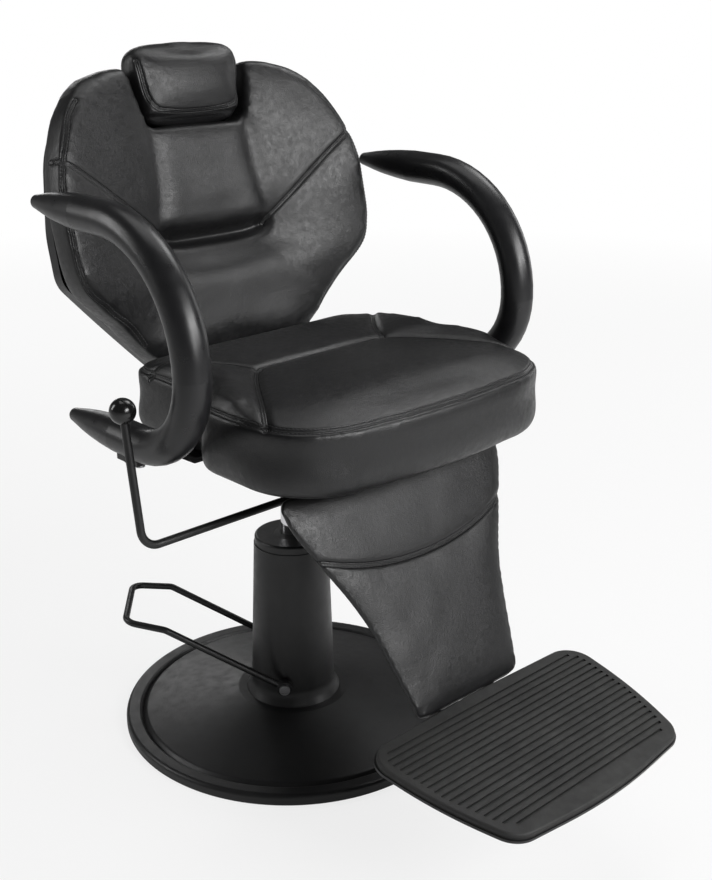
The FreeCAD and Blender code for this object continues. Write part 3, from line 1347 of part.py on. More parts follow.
def make_back_cushion():
    bottom, top = values["back_bottom"], values["back_top"]
    fold, deep, swell = values["crease_height"], values["crease_depth"], values["lumbar_crown"]
    hip, start = values["back_hip"], values["back_shoulder_start"]
    edge, lip = values["back_edge"], values["back_edge"] / 4
    lumbar, spread = values["lumbar_height"], values["crease_spread"]
    # From the bottom to the top: height, swelling, depth of the crease, rounding.
    levels = [
        (bottom, 0, 0, edge), (bottom + edge, 0, 0, lip), (bottom + lumbar / 2, swell * 0.5, 0, 0),
        (bottom + lumbar, swell, 0, 0), (hip, swell * 0.6, deep * 0.6, 0), (fold, swell * 0.2, deep, 0),
        (fold + spread, swell * 0.7, deep * 0.3, 0), (start, swell, 0, 0),
        (start + (top - start) * 0.45, swell * 0.8, 0, 0), (start + (top - start) * 0.75, swell * 0.5, 0, 0),
        (top - edge, 0, 0, lip), (top, 0, 0, edge),
    ]
    cushion = lofted([back_section(*level) for level in levels])
    corners = both_sides(notch_corners(0, size("notch_bottom")))
    spots = [Vector(corner[0].value, -values["back_width"], corner[1].value) for corner in corners]
    radii = [corner[2].value if len(corner) == 3 else values["seat_gap"] for corner in corners]
    notch = Part.Face(rounded_wire(spots, radii)).extrude(Y_AXIS * (2 * values["back_width"]))
    cushion = cushion.cut(notch)

    radius = values["back_curve"]
    seam_end = values["wing_seam_height"] - values["crease_height"]
    seam_width = values["back_width"] - values["crease_half"]
    for way in (1, -1):
        route = []
        for share, rise, lift in WING_SEAM:
            across = values["crease_half"] + seam_width * share
            wrap = math.sqrt(radius ** 2 - across ** 2) - radius
            height = values["crease_height"] + seam_end * rise
            route.append(Vector(way * across, wrap - swell * lift, height))
        seam = rod_along(route, values["crease_half"], values["seam_radius"])
        cushion = cushion.cut(seam)
    solid_piece("back_cushion", cushion, back_place)


def make_back_panels():
    board = curved_panel("back_board", board_near, board_far, size("back_board_inset"), size("notch_bottom"))
    holes = new_sketch(board, "XZ")
    for way in (1, -1):
        for height in back_screw_heights:
            circle(holes, way * back_screw_x, height, size("screw_radius") + size("ram_fit"))
    cut_through(board, holes)
    back_place(board)
    cover = curved_panel("back_cover", board_far, cover_far, 0, size("cover_notch_bottom"))
    play = size("chamber_play")
    arm_floor = board_far - drop_at(arm_inner) + flange_gap + size("arm_strip") + play / 4
    guide_floor = board_far + guide_depth + play / 4
    arm_far = arm_inner + size("arm_flange_width") + play
    guide_far = size("guide_half_width") + play
    chambers = [
        (arm_inner - play, arm_far, arm_floor, size("arm_strip_top") + play),
        (-arm_far, play - arm_inner, arm_floor, size("arm_strip_top") + play),
        (-guide_far, guide_far, guide_floor, size("back_top")),
    ]
    for low, high, floor, top in chambers:
        chamber = new_sketch(cover, "XY", top)
        outline(chamber, [(low, -curve / 2), (high, -curve / 2), (high, floor), (low, floor)])
        doc.recompute()
        before = cover.Shape.Volume
        pocket = cover.newObject("PartDesign::Pocket", "Chamber")
        pocket.Profile = chamber
        pocket.Type = "ThroughAll"
        doc.recompute()
        if not cover.Shape.Volume < before:
            raise RuntimeError("back_cover: a chamber missed the cover")
    back_place(cover)


flange_gap = 2 * size("seat_gap")
guide_depth = 2 * size("guide_wall") + size("bar_thickness") + 2 * size("bar_play") + size("seat_gap")


def back_local(y, z):
    """A point of the seat's side view, in the backrest's own frame."""
    dy = y - size("back_y")
    dz = z - size("back_rise")
    lean = size("back_tilt")
    return dy * cosine(lean) - dz * sine(lean), dy * sine(lean) + dz * cosine(lean)


def drop_at(across):
    """How far the curved back board lies in front of its middle, at a distance across."""
    share = across / (curve + board_far)
    height = Size(math.sqrt(1 - share.value ** 2), f"sqrt(1 - {share.formula}^2)")
    return (curve + board_far) * (1 - height)


def make_back_arm(name, way):
    body = new_body(f"back_arm_{name}")
    hub_n, hub_v = back_local(size("back_pivot_y"), size("back_pivot_rise"))
    swing = half_recline + size("back_tilt")
    link_n = hub_n + size("link_crank") * sine(swing)
    link_v = hub_v - size("link_crank") * cosine(swing)
    spring_n = hub_n + size("spring_crank") * sine(swing)
    spring_v = hub_v - size("spring_crank") * cosine(swing)
    hub, lobe = size("arm_hub"), size("crank_lobe")
    near = board_far - drop_at(arm_inner) + flange_gap
    far = near + size("arm_strip")
    bend = size("arm_foot_bend")
    top = size("arm_strip_top")
    inner = arm_inner if way > 0 else -arm_outer
    sketch = new_sketch(body, "YZ", inner)
    outline(sketch, [
        (near, top),
        (near, bend, hub),
        (hub_n - hub, hub_v + hub * 0.7, hub / 2),
        (hub_n - hub, hub_v - hub * 0.8, hub * 0.7),
        (link_n - lobe, link_v - lobe * 0.8, lobe * 0.8),
        (link_n + lobe, link_v - lobe * 0.8, lobe * 0.8),
        (hub_n + hub * 1.3, hub_v + hub * 0.4, hub),
        (far, bend - hub * 0.4, hub),
        (far, top),
    ])
    circle(sketch, hub_n, hub_v, size("pivot_radius") + size("ram_fit"))
    circle(sketch, link_n, link_v, size("link_pin_radius") + size("ram_fit"))
    circle(sketch, spring_n, spring_v, size("link_pin_radius") + size("ram_fit"))
    pad(body, sketch, size("arm_plate"))
    flange_near = board_far - drop_at(arm_inner + size("arm_flange_width")) + flange_gap
    flange = new_sketch(body, "XY", size("arm_flange_foot"))
    wide = arm_inner + size("arm_flange_width")
    outline(flange, [
        (way * arm_inner, near),
        (way * wide, flange_near),
        (way * wide, flange_near + size("arm_flange_sheet")),
        (way * arm_inner, near + size("arm_flange_sheet")),
    ])
    pad(body, flange, top - size("arm_flange_foot"))
    holes = new_sketch(body, "XZ")
    for spot in back_screw_heights:
        circle(holes, way * back_screw_x, spot, size("screw_radius") + size("ram_fit"))
    cut_through(body, holes)
    back_place(body)


back_screw_x = arm_outer + (size("arm_flange_width") - size("arm_plate")) / 2
back_screw_heights = [
    size("arm_flange_foot") + 3 * size("screw_head_radius"),
    (size("arm_flange_foot") + size("arm_strip_top")) / 2,
    size("arm_strip_top") - 3 * size("screw_head_radius"),
]


def make_back_screws():
    flange_end = arm_inner + size("arm_flange_width")
    slope = (drop_at(flange_end).value - drop_at(arm_inner).value) / values["arm_flange_width"]
    seat_depth = (drop_at(flange_end).value + drop_at(arm_inner).value) / 2
    depth = board_far.value - seat_depth + flange_gap.value + values["arm_flange_sheet"]
    depth += (values["screw_head_radius"] + values["arm_plate"] / 2) * slope
    screws = []
    for way in (1, -1):
        for height in back_screw_heights:
            spot = Vector(way * back_screw_x.value, depth, height.value)
            screws.append(bolt_shape(spot, -Y_AXIS, values["screw_radius"],
                                     values["arm_flange_sheet"] + values["screw_depth"],
                                     values["screw_head_radius"], values["screw_head"]))
    solid_piece("back_screws", Part.makeCompound(screws), back_place)


# Headrest


# The headrest pad from its bottom to its top: share of its height, of its width and of its depth.
HEADREST_LEVELS = [(0, 0.84, 0.5), (0.05, 0.95, 0.74), (0.13, 1.0, 0.9), (0.24, 1.0, 1.0), (0.5, 1.0, 1.0),
                   (0.75, 0.99, 0.97), (0.88, 0.93, 0.82), (0.96, 0.8, 0.55), (1.0, 0.55, 0.25)]
# How fast the pad widens upwards, and how far its sides and faces bow, as shares of its thickness.
HEADREST_FLARE = 1.2
HEADREST_SIDE = 0.16
HEADREST_BOW = 0.07


def make_headrest():
    near = board_far + size("seat_gap")
    wall, play = size("guide_wall"), size("bar_play")
    top = size("notch_bottom") - size("back_board_inset")
    guide = new_body("headrest_guide")
    outer = size("guide_half_width")
    slot = size("bar_half_width") + play
    sketch = new_sketch(guide, "XY", top - size("guide_length"))
    slot_near, slot_far = near + wall, near + wall + size("bar_thickness") + 2 * play
    outline(sketch, both_sides([(outer, near), (outer, slot_far + wall)]))
    outline(sketch, both_sides([(slot, slot_near), (slot, slot_far)]))
    pad(guide, sketch, size("guide_length"))
    back_place(guide)

    bar = new_body("headrest_bar")
    foot = top - size("guide_length") + wall
    sketch = new_sketch(bar, "XY", foot)
    bar_near = slot_near + play
    outline(sketch, both_sides([(size("bar_half_width"), bar_near),
                                (size("bar_half_width"), bar_near + size("bar_thickness"))]))
    reach = size("headrest_bottom") + size("headrest_height") * 0.75
    pad(bar, sketch, reach - foot)
    plate = new_sketch(bar, "XZ", -bar_near)
    plate_low = size("headrest_bottom") + size("headrest_height") * 0.25
    wide = size("bar_half_width") + 2 * wall
    outline(plate, both_sides([(wide, plate_low, wall), (wide, reach, wall)]))
    pad(bar, plate, bar_near - size("headrest_rear") - size("head_play") - 2 * size("seat_gap"))
    back_place(bar)

    bottom, height = values["headrest_bottom"], values["headrest_height"]
    front, rear = values["headrest_front"], values["headrest_rear"]
    low, high = values["headrest_low_width"], values["headrest_top_width"]
    middle = (front + rear) / 2
    sections = []
    for share, spread, depth in HEADREST_LEVELS:
        wide = (low + (high - low) * min(1, share * HEADREST_FLARE)) * spread
        level = bottom + height * share
        fore = middle + (front - middle) * depth
        aft = middle + (rear - middle) * depth
        side = wide - (rear - front) * HEADREST_SIDE * depth

        def at(across, deep):
            return Vector(across, deep, level)

        sag = (rear - front) * HEADREST_BOW * depth
        edges = [
            Part.Arc(at(-side, fore + sag), at(0, fore), at(side, fore + sag)),
            Part.Arc(at(side, fore + sag), at(wide, middle), at(side, aft - sag)),
            Part.Arc(at(side, aft - sag), at(0, aft), at(-side, aft - sag)),
            Part.Arc(at(-side, aft - sag), at(-wide, middle), at(-side, fore + sag)),
        ]
        sections.append(Part.Wire([edge.toShape() for edge in edges]))
    solid_piece("headrest_pad", lofted(sections), back_place)


# Leg rest, in its own frame: origin on the hinge, Y backwards through the pad, Z up along the pad


def leg_corners(inset, end_inset):
    """Half of the leg rest's outline, from the bottom to the top, drawn in at its sides and ends."""
    inset, end_inset = as_size(inset), as_size(end_inset)
    return [
        (size("leg_foot_width") - inset, size("leg_bottom") + end_inset, size("leg_corner")),
        (size("leg_waist_width") - inset, size("leg_waist"), size("leg_waist_round")),
        (size("leg_hip_width") - inset, size("leg_hip") - end_inset, size("leg_hip_round")),
        (size("leg_top_width") - inset, size("leg_top") - end_inset, size("leg_corner") * 0.8),
    ]


# The leg rest pad from its rear to its front: sides drawn in, ends drawn in, share of the thickness.
LEG_PAD_LEVELS = [(22, 6, 1), (12, 2, 0.75), (2, 0, 0.4), (1, 1, 0.24), (4, 4, 0.1), (12, 12, 0),
                  (26, 26, -0.06), (40, 40, -0.1)]


def make_leg_pad():
    front = -values["leg_front"]
    thick = values["leg_pad"]
    wires = []
    for inset, end_inset, share in LEG_PAD_LEVELS:
        corners = both_sides(leg_corners(inset, end_inset))
        spots = [Vector(corner[0].value, front + thick * share, corner[1].value) for corner in corners]
        shrink = [max(corner[2].value - inset * 0.25, values["leg_corner"] * 0.3) for corner in corners]
        wires.append(rounded_wire(spots, shrink))
    leg = lofted(wires, ruled=True)
    deep = front - thick * 0.16
    side = values["leg_hip_width"]
    sag = values["leg_seam"] - 2 * values["leg_seam_sag"]
    seam_line = [Vector(side, deep, values["leg_seam"]), Vector(0, deep, sag),
                 Vector(-side, deep, values["leg_seam"])]
    seam = rod_along(seam_line, values["leg_seam_round"], values["channel_radius"])
    solid_piece("legrest_pad", leg.cut(seam), leg_place)


def make_leg_board():
    body = new_body("legrest_board")
    sketch = new_sketch(body, "XZ", size("leg_front") - size("leg_pad") - size("leg_board"))
    outline(sketch, both_sides(leg_corners(size("leg_board_inset"), size("leg_corner"))))
    for way in (1, -1):
        for spot in leg_screw_heights:
            circle(sketch, way * leg_screw_x, spot, size("screw_radius") + size("ram_fit"))
        for spot in foot_screw_heights:
            circle(sketch, way * foot_screw_x, spot, size("screw_radius") + size("ram_fit"))
    pad(body, sketch, size("leg_board") - size("seat_gap"))
    leg_place(body)


leg_rear = size("leg_pad") + size("leg_board") - size("leg_front")
leg_screw_x = arm_inner - size("leg_flange") / 2
leg_screw_heights = [size("leg_screw_top"), size("leg_screw_low")]
foot_screw_x = size("foot_bracket_x") - size("arm_plate") - size("leg_flange") / 2
foot_screw_heights = [size("foot_screw_top"), size("foot_screw_low")]


def leg_local(y, z):
    """A point of the seat's side view, in the leg rest's own frame."""
    dy = y - size("leg_pivot_y")
    dz = z - size("leg_pivot_rise")
    lean = size("leg_tilt")
    return dy * cosine(lean) - dz * sine(lean), dy * sine(lean) + dz * cosine(lean)


def under_foot(reach, depth):
    """A point under the foot plate: reach forward from its rear edge, depth under its top."""
    slope = size("foot_tilt")
    y = size("foot_y") - reach * cosine(slope) + depth * sine(slope)
    z = size("leg_pivot_rise") - size("foot_drop") - reach * sine(slope) - depth * cosine(slope)
    return leg_local(y, z)


def make_leg_arm(name, way):
    body = new_body(f"legrest_arm_{name}")
    near = leg_rear
    thin = near + size("leg_strip_thin")
    lug = size("side_lug_radius")
    swing = half_recline + size("leg_tilt")
    link_n, link_v = size("link_crank") * sine(swing), -size("link_crank") * cosine(swing)
    lobe = size("crank_lobe")
    foot = size("leg_arm_foot")
    inner = arm_inner if way > 0 else -arm_outer
    sketch = new_sketch(body, "YZ", inner)
    outline(sketch, [
        (near, lug * 1.2, lug / 3),
        (near, foot, lug / 4),
        (thin, foot, lug / 4),
        (thin, -3.4 * lug, lug),
        (link_n - lobe * 0.4, link_v - lobe, lobe * 0.8),
        (link_n + lobe, link_v - lobe * 0.4, lobe * 0.7),
        (lug * 1.1, lug * 0.5, lug * 0.8),
        (lug * 0.6, lug * 1.2, lug / 3),
    ])
    circle(sketch, 0, 0, size("pivot_radius") + size("ram_fit"))
    circle(sketch, link_n, link_v, size("link_pin_radius") + size("ram_fit"))
    pad(body, sketch, size("arm_plate"))
    screw_flange(body, way, arm_outer, arm_inner - size("leg_flange"), leg_screw_x, leg_screw_heights)
    leg_place(body)


def screw_flange(body, way, outer, inner, screw_x, screw_heights):
    """The flange that lies on the leg rest's board, with its screw holes."""
    margin = 3 * size("screw_head_radius")
    high, low = screw_heights[0] + margin, screw_heights[-1] - margin
    flange = new_sketch(body, "XZ", -(leg_rear + size("arm_flange_sheet")))
    outline(flange, [(way * outer, low), (way * outer, high), (way * inner, high), (way * inner, low)])
    for height in screw_heights:
        circle(flange, way * screw_x, height, size("screw_radius") + size("ram_fit"))
    pad(body, flange, size("arm_flange_sheet"))


def make_foot_bracket(name, way):
    body = new_body(f"footrest_bracket_{name}")
    near = leg_rear
    thin = near + size("leg_strip_thin")
    round_corner = size("side_lug_radius") / 2
    slope = tangent(size("leg_tilt") + size("foot_tilt"))
    under = size("tread_height") + size("foot_sheet")
    top = foot_screw_heights[0] + 3 * size("screw_head_radius")
    front_top = under_foot(size("foot_strut_reach"), under)
    front_low = under_foot(size("foot_strut_reach"), under + size("foot_strut_tip"))
    rear_top = under_foot(-size("foot_strut"), under)
    heel = under_foot(-size("foot_strut"), under + size("foot_strut"))
    outer = size("foot_bracket_x")
    inner = outer - size("arm_plate")
    sketch = new_sketch(body, "YZ", inner if way > 0 else -outer)
    outline(sketch, [
        (near, top),
        (near, rear_top[1] + (near - rear_top[0]) * slope, round_corner),
        front_top,
        (*front_low, round_corner / 2),
        (thin, heel[1] + (thin - heel[0]) * slope, round_corner * 2),
        (thin, top),
    ])
    pad(body, sketch, size("arm_plate"))
    screw_flange(body, way, outer, inner - size("leg_flange"), foot_screw_x, foot_screw_heights)
    leg_place(body)


def make_leg_screws():
    screws = []
    for way in (1, -1):
        for across, heights in ((leg_screw_x, leg_screw_heights), (foot_screw_x, foot_screw_heights)):
            for height in heights:
                spot = Vector(way * across.value, leg_rear.value + values["arm_flange_sheet"], height.value)
                screws.append(bolt_shape(spot, -Y_AXIS, values["screw_radius"],
                                         values["arm_flange_sheet"] + values["screw_depth"],
                                         values["screw_head_radius"], values["screw_head"]))
    solid_piece("legrest_screws", Part.makeCompound(screws), leg_place)


# Foot plate, in its own frame: origin on its rear edge, Y backwards, Z up from its top


# Where the foot plate's bowed sides turn in, as a share of its length.
FOOT_MID_SHARE = 0.55


def foot_corners(inset):
    """Half of the foot plate's outline, from the rear to the front."""
    inset = as_size(inset)
    return [
        (size("foot_rear_width") - inset, -inset, size("foot_corner")),
        (size("foot_mid_width") - inset, -size("foot_length") * FOOT_MID_SHARE, size("foot_side_round")),
        (size("foot_front_width") - inset, -size("foot_length") + inset, size("foot_corner")),
    ]


def foot_outline(sketch, inset):
    half = foot_corners(inset)
    bow = (0, -size("foot_length") - size("foot_bow") + inset, size("foot_end_round"))
    rear_bow = (0, size("foot_bow") / 3 - inset, size("foot_end_round"))
    mirrored = [(-corner[0], *corner[1:]) for corner in reversed(half)]
    return outline(sketch, [rear_bow] + half + [bow] + mirrored)


def groove_half_width(near, far):
    """Half width of a tread groove between two distances from the rear edge, inside the plain border."""
    rear, middle, front = size("foot_rear_width"), size("foot_mid_width"), size("foot_front_width")
    waist = size("foot_length") * FOOT_MID_SHARE
    if far.value < waist.value:
        half = rear + (middle - rear) * (far / waist)
    else:
        half = middle + (front - middle) * ((far - waist) / (size("foot_length") - waist))
    rounding = size("foot_corner") - size("tread_border")
    from_rear = near - size("tread_border")
    from_front = size("foot_length") - size("tread_border") - far
    for reach in (from_rear, from_front):
        missing = rounding - reach
        if missing.value > 0:
            half = half - rounding + root(rounding * rounding - missing * missing)
    return half - size("tread_border")


def make_footrest():
    under = size("tread_height") + size("foot_sheet")
    plate = new_body("footrest_plate")
    sketch = new_sketch(plate, "XY", -under)
    foot_outline(sketch, 0)
    pad(plate, sketch, size("foot_sheet"))
    foot_place(plate)

    tread = new_body("footrest_tread")
    sketch = new_sketch(tread, "XY", -size("tread_height"))
    foot_outline(sketch, size("tread_inset"))
    slab = pad(tread, sketch, size("tread_height"))
    doc.recompute()
    top_edges = [f"Edge{number}" for number, edge in enumerate(slab.Shape.Edges, start=1)
                 if min(vertex.Point.z for vertex in edge.Vertexes) > -values["tread_height"] / 2]
    rounding = tread.newObject("PartDesign::Fillet", "Rounding")
    rounding.Base = (slab, top_edges)
    rounding.Radius = values["tread_round"]
    rounding.setExpression("Radius", size("tread_round").formula)
    doc.recompute()
    whole = tread.Shape.Volume
    grooves = new_sketch(tread, "XY")
    first = size("tread_border") + size("rib_margin")
    room = size("foot_length") - size("tread_border") - size("rib_groove") - first
    for index in range(int(room.value / values["rib_pitch"]) + 1):
        near = first + size("rib_pitch") * index
        far = near + size("rib_groove")
        half = groove_half_width(near, far)
        outline(grooves, both_sides([(half, -near), (half, -far)]))
    pocket = tread.newObject("PartDesign::Pocket", "Grooves")
    pocket.Profile = grooves
    pocket.Length = values["rib_depth"]
    pocket.setExpression("Length", size("rib_depth").formula)
    doc.recompute()
    if not tread.Shape.Volume < whole:
        raise RuntimeError("footrest_tread: the grooves missed the tread")
    foot_place(tread)


make_base()
make_pump()
make_foot_lever()
make_ram()
make_mount()
all_arm_bolts = []
for side_name, side_way in SIDES.items():
    make_side_plate(side_name, side_way)
    all_arm_bolts += make_arm(side_name, side_way)
    make_back_arm(side_name, side_way)
    make_leg_arm(side_name, side_way)
    make_foot_bracket(side_name, side_way)
solid_piece("arm_bolts", Part.makeCompound(all_arm_bolts), seat_place)
make_seat()
hinge_bolts("back_pivot_bolts", size("back_pivot_y"), size("back_pivot_rise"))
hinge_bolts("legrest_pivot_bolts", size("leg_pivot_y"), size("leg_pivot_rise"))
make_recline_lever()
make_gas_spring()
make_link()
make_back_cushion()
make_back_panels()
make_back_screws()
make_headrest()
make_leg_pad()
make_leg_board()
make_leg_screws()
make_footrest()
doc.recompute()

for thing in doc.Objects:
    if "Invalid" in thing.State or "Error" in thing.State:
        raise RuntimeError(f"{thing.Label}: {thing.State}")
for node in nodes:
    if node.Shape.isNull() or not node.Shape.isValid():
        raise RuntimeError(f"{node.Label}: the shape is null or not valid")
for node in nodes:
    node.Shape.exportStep(f"parts/{node.Label}.step")
print(f"{len(nodes)} pieces written")
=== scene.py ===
# %% [markdown]
# # Dressing a barber chair
#
# The chair's hard parts come from its CAD model. They are in metres, with the floor at z = 0,
# the chair facing along -Y and the sitter's left hand at +X. This lesson loads them, gives them
# their finishes, and makes the four upholstered pieces that a CAD solid can only stand in for.

# %% Load the chair's frame
import json
import math

import bmesh
import bpy
from mathutils import Matrix, Vector, noise
from mathutils.bvhtree import BVHTree
from mathutils.kdtree import KDTree


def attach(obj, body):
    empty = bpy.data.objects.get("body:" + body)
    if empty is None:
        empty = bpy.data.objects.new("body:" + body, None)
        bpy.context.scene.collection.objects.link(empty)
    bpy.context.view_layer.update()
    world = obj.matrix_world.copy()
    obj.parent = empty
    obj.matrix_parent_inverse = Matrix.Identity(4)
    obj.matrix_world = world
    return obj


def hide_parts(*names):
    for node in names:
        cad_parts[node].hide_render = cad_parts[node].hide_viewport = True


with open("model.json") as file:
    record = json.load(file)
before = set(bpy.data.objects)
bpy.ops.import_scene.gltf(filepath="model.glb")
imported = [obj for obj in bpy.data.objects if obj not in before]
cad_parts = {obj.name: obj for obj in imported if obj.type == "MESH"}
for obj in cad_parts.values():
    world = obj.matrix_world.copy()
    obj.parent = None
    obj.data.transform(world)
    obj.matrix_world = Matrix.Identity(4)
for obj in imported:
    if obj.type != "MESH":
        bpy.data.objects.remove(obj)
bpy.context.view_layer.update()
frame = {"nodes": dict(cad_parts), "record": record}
scene = bpy.context.scene
print("CAD pieces loaded:", len(frame["nodes"]))

# %% [markdown]
# ## Camera
#
# The picture was taken from the chair's front right, from a little above seat height. A camera
# can be aimed with a constraint or turned by hand. Here its three axes are worked out from two
# angles and a slight roll, so that the view is fixed and easy to read.

# %% Camera
PICTURE_HEIGHT = 880
FOCAL_PIXELS = 1295
SENSOR = 36.0
CAMERA_SPOT = Vector((-1.2868, -1.5239, 1.2368))
turn, pitch, roll = math.radians(-43.31), math.radians(20.205), math.radians(-0.155)

backward = Vector((math.sin(turn) * math.cos(pitch), -math.cos(turn) * math.cos(pitch), math.sin(pitch)))
level_right = Vector((math.cos(turn), math.sin(turn), 0))
level_up = backward.cross(level_right)
right = level_right * math.cos(roll) - level_up * math.sin(roll)
up = level_right * math.sin(roll) + level_up * math.cos(roll)

lens = bpy.data.cameras.new("camera")
lens.sensor_width = SENSOR
lens.lens = SENSOR * FOCAL_PIXELS / PICTURE_HEIGHT
camera = bpy.data.objects.new("camera", lens)
camera.matrix_world = Matrix.Translation(CAMERA_SPOT) @ Matrix((right, up, backward)).transposed().to_4x4()
scene.collection.objects.link(camera)
scene.camera = camera
print("lens in mm:", round(lens.lens, 2))

# %% [markdown]
# ## Floor and light
#
# A black chair shows its form by what it mirrors, so the light comes from a few large soft
# boxes: each leaves a broad sheen on the leather and a long streak on the arms. The floor and the
# world are white where the camera looks at them, and a dim white in a reflection. They give the
# chair itself little light, so that its blacks stay black.

# %% Floor
FLOOR_HALF = 30.0
FLOOR_DROP = 0.0005

floor_shape = bmesh.new()
bmesh.ops.create_grid(floor_shape, x_segments=1, y_segments=1, size=FLOOR_HALF)
floor_mesh = bpy.data.meshes.new("studio_floor")
floor_shape.to_mesh(floor_mesh)
floor_shape.free()
studio_floor = bpy.data.objects.new("studio_floor", floor_mesh)
studio_floor.location.z = -FLOOR_DROP
scene.collection.objects.link(studio_floor)


def new_finish(name):
    """A material with its node tree and its main shader."""
    finish = bpy.data.materials.new(name)
    finish.use_nodes = True
    return finish, finish.node_tree, finish.node_tree.nodes["Principled BSDF"]


def add_node(tree, kind, **settings):
    """A node of that kind. Settings name its properties, or its sockets where it has no such property."""
    node = tree.nodes.new("ShaderNode" + kind)
    for key, value in settings.items():
        if hasattr(node, key):
            setattr(node, key, value)
        else:
            node.inputs[key.replace("_", " ")].default_value = value
    return node


def joined(tree, operation, first, second):
    """The result of a Math node on two values. The second may be a plain number."""
    node = add_node(tree, "Math", operation=operation)
    tree.links.new(first, node.inputs[0])
    if isinstance(second, (int, float)):
        node.inputs[1].default_value = second
    else:
        tree.links.new(second, node.inputs[1])
    return node.outputs[0]


def between(tree, value, low, high, start=0.3, stop=0.7):
    """Turn a value from start to stop into a number from low to high."""
    node = add_node(tree, "MapRange")
    tree.links.new(value, node.inputs["Value"])
    for socket, number in (("From Min", start), ("From Max", stop), ("To Min", low), ("To Max", high)):
        node.inputs[socket].default_value = number
    return node.outputs["Result"]


MIRRORED_WHITE = 0.25
NEAR_WHITE = 0.80
FADE_START, FADE_STOP = 0.9, 4.5


def white_share(tree):
    """1 where the camera looks, straight or through glass, and MIRRORED_WHITE for a reflection."""
    path = add_node(tree, "LightPath")
    straight = joined(tree, "MAXIMUM", path.outputs["Is Camera Ray"], path.outputs["Is Transmission Ray"])
    return joined(tree, "MAXIMUM", straight, joined(tree, "MULTIPLY", path.outputs["Is Glossy Ray"],
                                                   MIRRORED_WHITE))


floor_finish, tree, shader = new_finish("floor_white")
shader.inputs["Base Color"].default_value = (0.86, 0.86, 0.86, 1)
shader.inputs["Roughness"].default_value = 0.9
place = add_node(tree, "TexCoord")
far = add_node(tree, "VectorMath", operation="LENGTH")
tree.links.new(place.outputs["Object"], far.inputs[0])
fade = between(tree, far.outputs["Value"], NEAR_WHITE, 1.0, FADE_START, FADE_STOP)
glow = add_node(tree, "Emission", Color=(1, 1, 1, 1), Strength=1.0)
mixed = add_node(tree, "MixShader")
tree.links.new(joined(tree, "MULTIPLY", white_share(tree), fade), mixed.inputs[0])
tree.links.new(shader.outputs[0], mixed.inputs[1])
tree.links.new(glow.outputs[0], mixed.inputs[2])
tree.links.new(mixed.outputs[0], tree.nodes["Material Output"].inputs["Surface"])
floor_mesh.materials.append(floor_finish)
print("floor side in m:", 2 * FLOOR_HALF)

# %% World and soft boxes
MIRRORED_TOP = 0.12
PLAIN_LEVEL = 0.08

world = bpy.data.worlds.new("studio")
world.use_nodes = True
scene.world = world
tree = world.node_tree
plain = tree.nodes["Background"]
plain.inputs["Color"].default_value = (1, 1, 1, 1)
plain.inputs["Strength"].default_value = PLAIN_LEVEL
white = add_node(tree, "Background", Color=(1, 1, 1, 1), Strength=1.0)
path = add_node(tree, "LightPath")
way = add_node(tree, "TexCoord")
rise = add_node(tree, "SeparateXYZ")
tree.links.new(way.outputs["Generated"], rise.inputs[0])
low_sky = between(tree, rise.outputs["Z"], MIRRORED_WHITE, 0, 0, MIRRORED_TOP)
mirrored_sky = joined(tree, "MULTIPLY", path.outputs["Is Glossy Ray"], low_sky)
straight = joined(tree, "MAXIMUM", path.outputs["Is Camera Ray"], path.outputs["Is Transmission Ray"])
mixed = add_node(tree, "MixShader")
tree.links.new(joined(tree, "MAXIMUM", straight, mirrored_sky), mixed.inputs[0])
tree.links.new(plain.outputs[0], mixed.inputs[1])
tree.links.new(white.outputs[0], mixed.inputs[2])
tree.links.new(mixed.outputs[0], tree.nodes["World Output"].inputs["Surface"])
scene.view_settings.view_transform = "Standard"


def soft_box(name, spot, aim, width, height, power):
    """A flat lamp that shines from spot towards aim."""
    lamp = bpy.data.lights.new(name, "AREA")
    lamp.shape = "RECTANGLE"
    lamp.size, lamp.size_y = width, height
    lamp.energy = power
    holder = bpy.data.objects.new(name, lamp)
    holder.location = spot
    holder.rotation_euler = (Vector(aim) - Vector(spot)).to_track_quat("-Z", "Y").to_euler()
    holder.visible_camera = False
    scene.collection.objects.link(holder)


# name, place, what it shines at, width, height, power in watts
SOFT_BOXES = [
    ("box_front", (0.8, -3.0, 2.05), (0, 0, 0.9), 2.6, 1.1, 86),
    ("box_front_right", (-0.4, -3.2, 1.7), (0, 0, 0.8), 1.2, 1.0, 20),
    ("box_high", (1.8, 0.1, 2.9), (0, -0.2, 0.6), 1.2, 1.2, 20),
    ("box_over", (0.2, 0.3, 3.2), (0, 0, 0.6), 2.0, 1.6, 14),
    ("box_side", (3.0, 0.0, 1.2), (0, 0, 0.5), 0.8, 1.6, 8),
    ("box_rear", (1.2, 2.8, 1.4), (0, 0, 0.5), 1.0, 1.0, 8),
    ("box_rear_right", (-2.2, 2.0, 1.8), (0, 0, 0.6), 0.8, 1.6, 22),
]
for box in SOFT_BOXES:
    soft_box(*box)
print("soft boxes:", len(SOFT_BOXES))

# %% [markdown]
# ## Hard finishes
#
# Steel parts on such a chair are powder coated: a satin black skin with a very fine orange peel.
# The arms are moulded foam with a smooth skin, the tread is rubber. Each finish is a few noise
# textures on Object coordinates that vary its colour, its gloss and its relief.

# %% Finish helpers


def grain(tree, scale, detail=3.0, stretch=None):
    """Noise on Object coordinates, optionally stretched along an axis."""
    place = add_node(tree, "TexCoord")
    texture = add_node(tree, "TexNoise", Scale=scale, Detail=detail)
    source = place.outputs["Object"]
    if stretch:
        mapping = add_node(tree, "Mapping", Scale=stretch)
        tree.links.new(source, mapping.inputs["Vector"])
        source = mapping.outputs["Vector"]
    tree.links.new(source, texture.inputs["Vector"])
    return texture.outputs["Fac"]


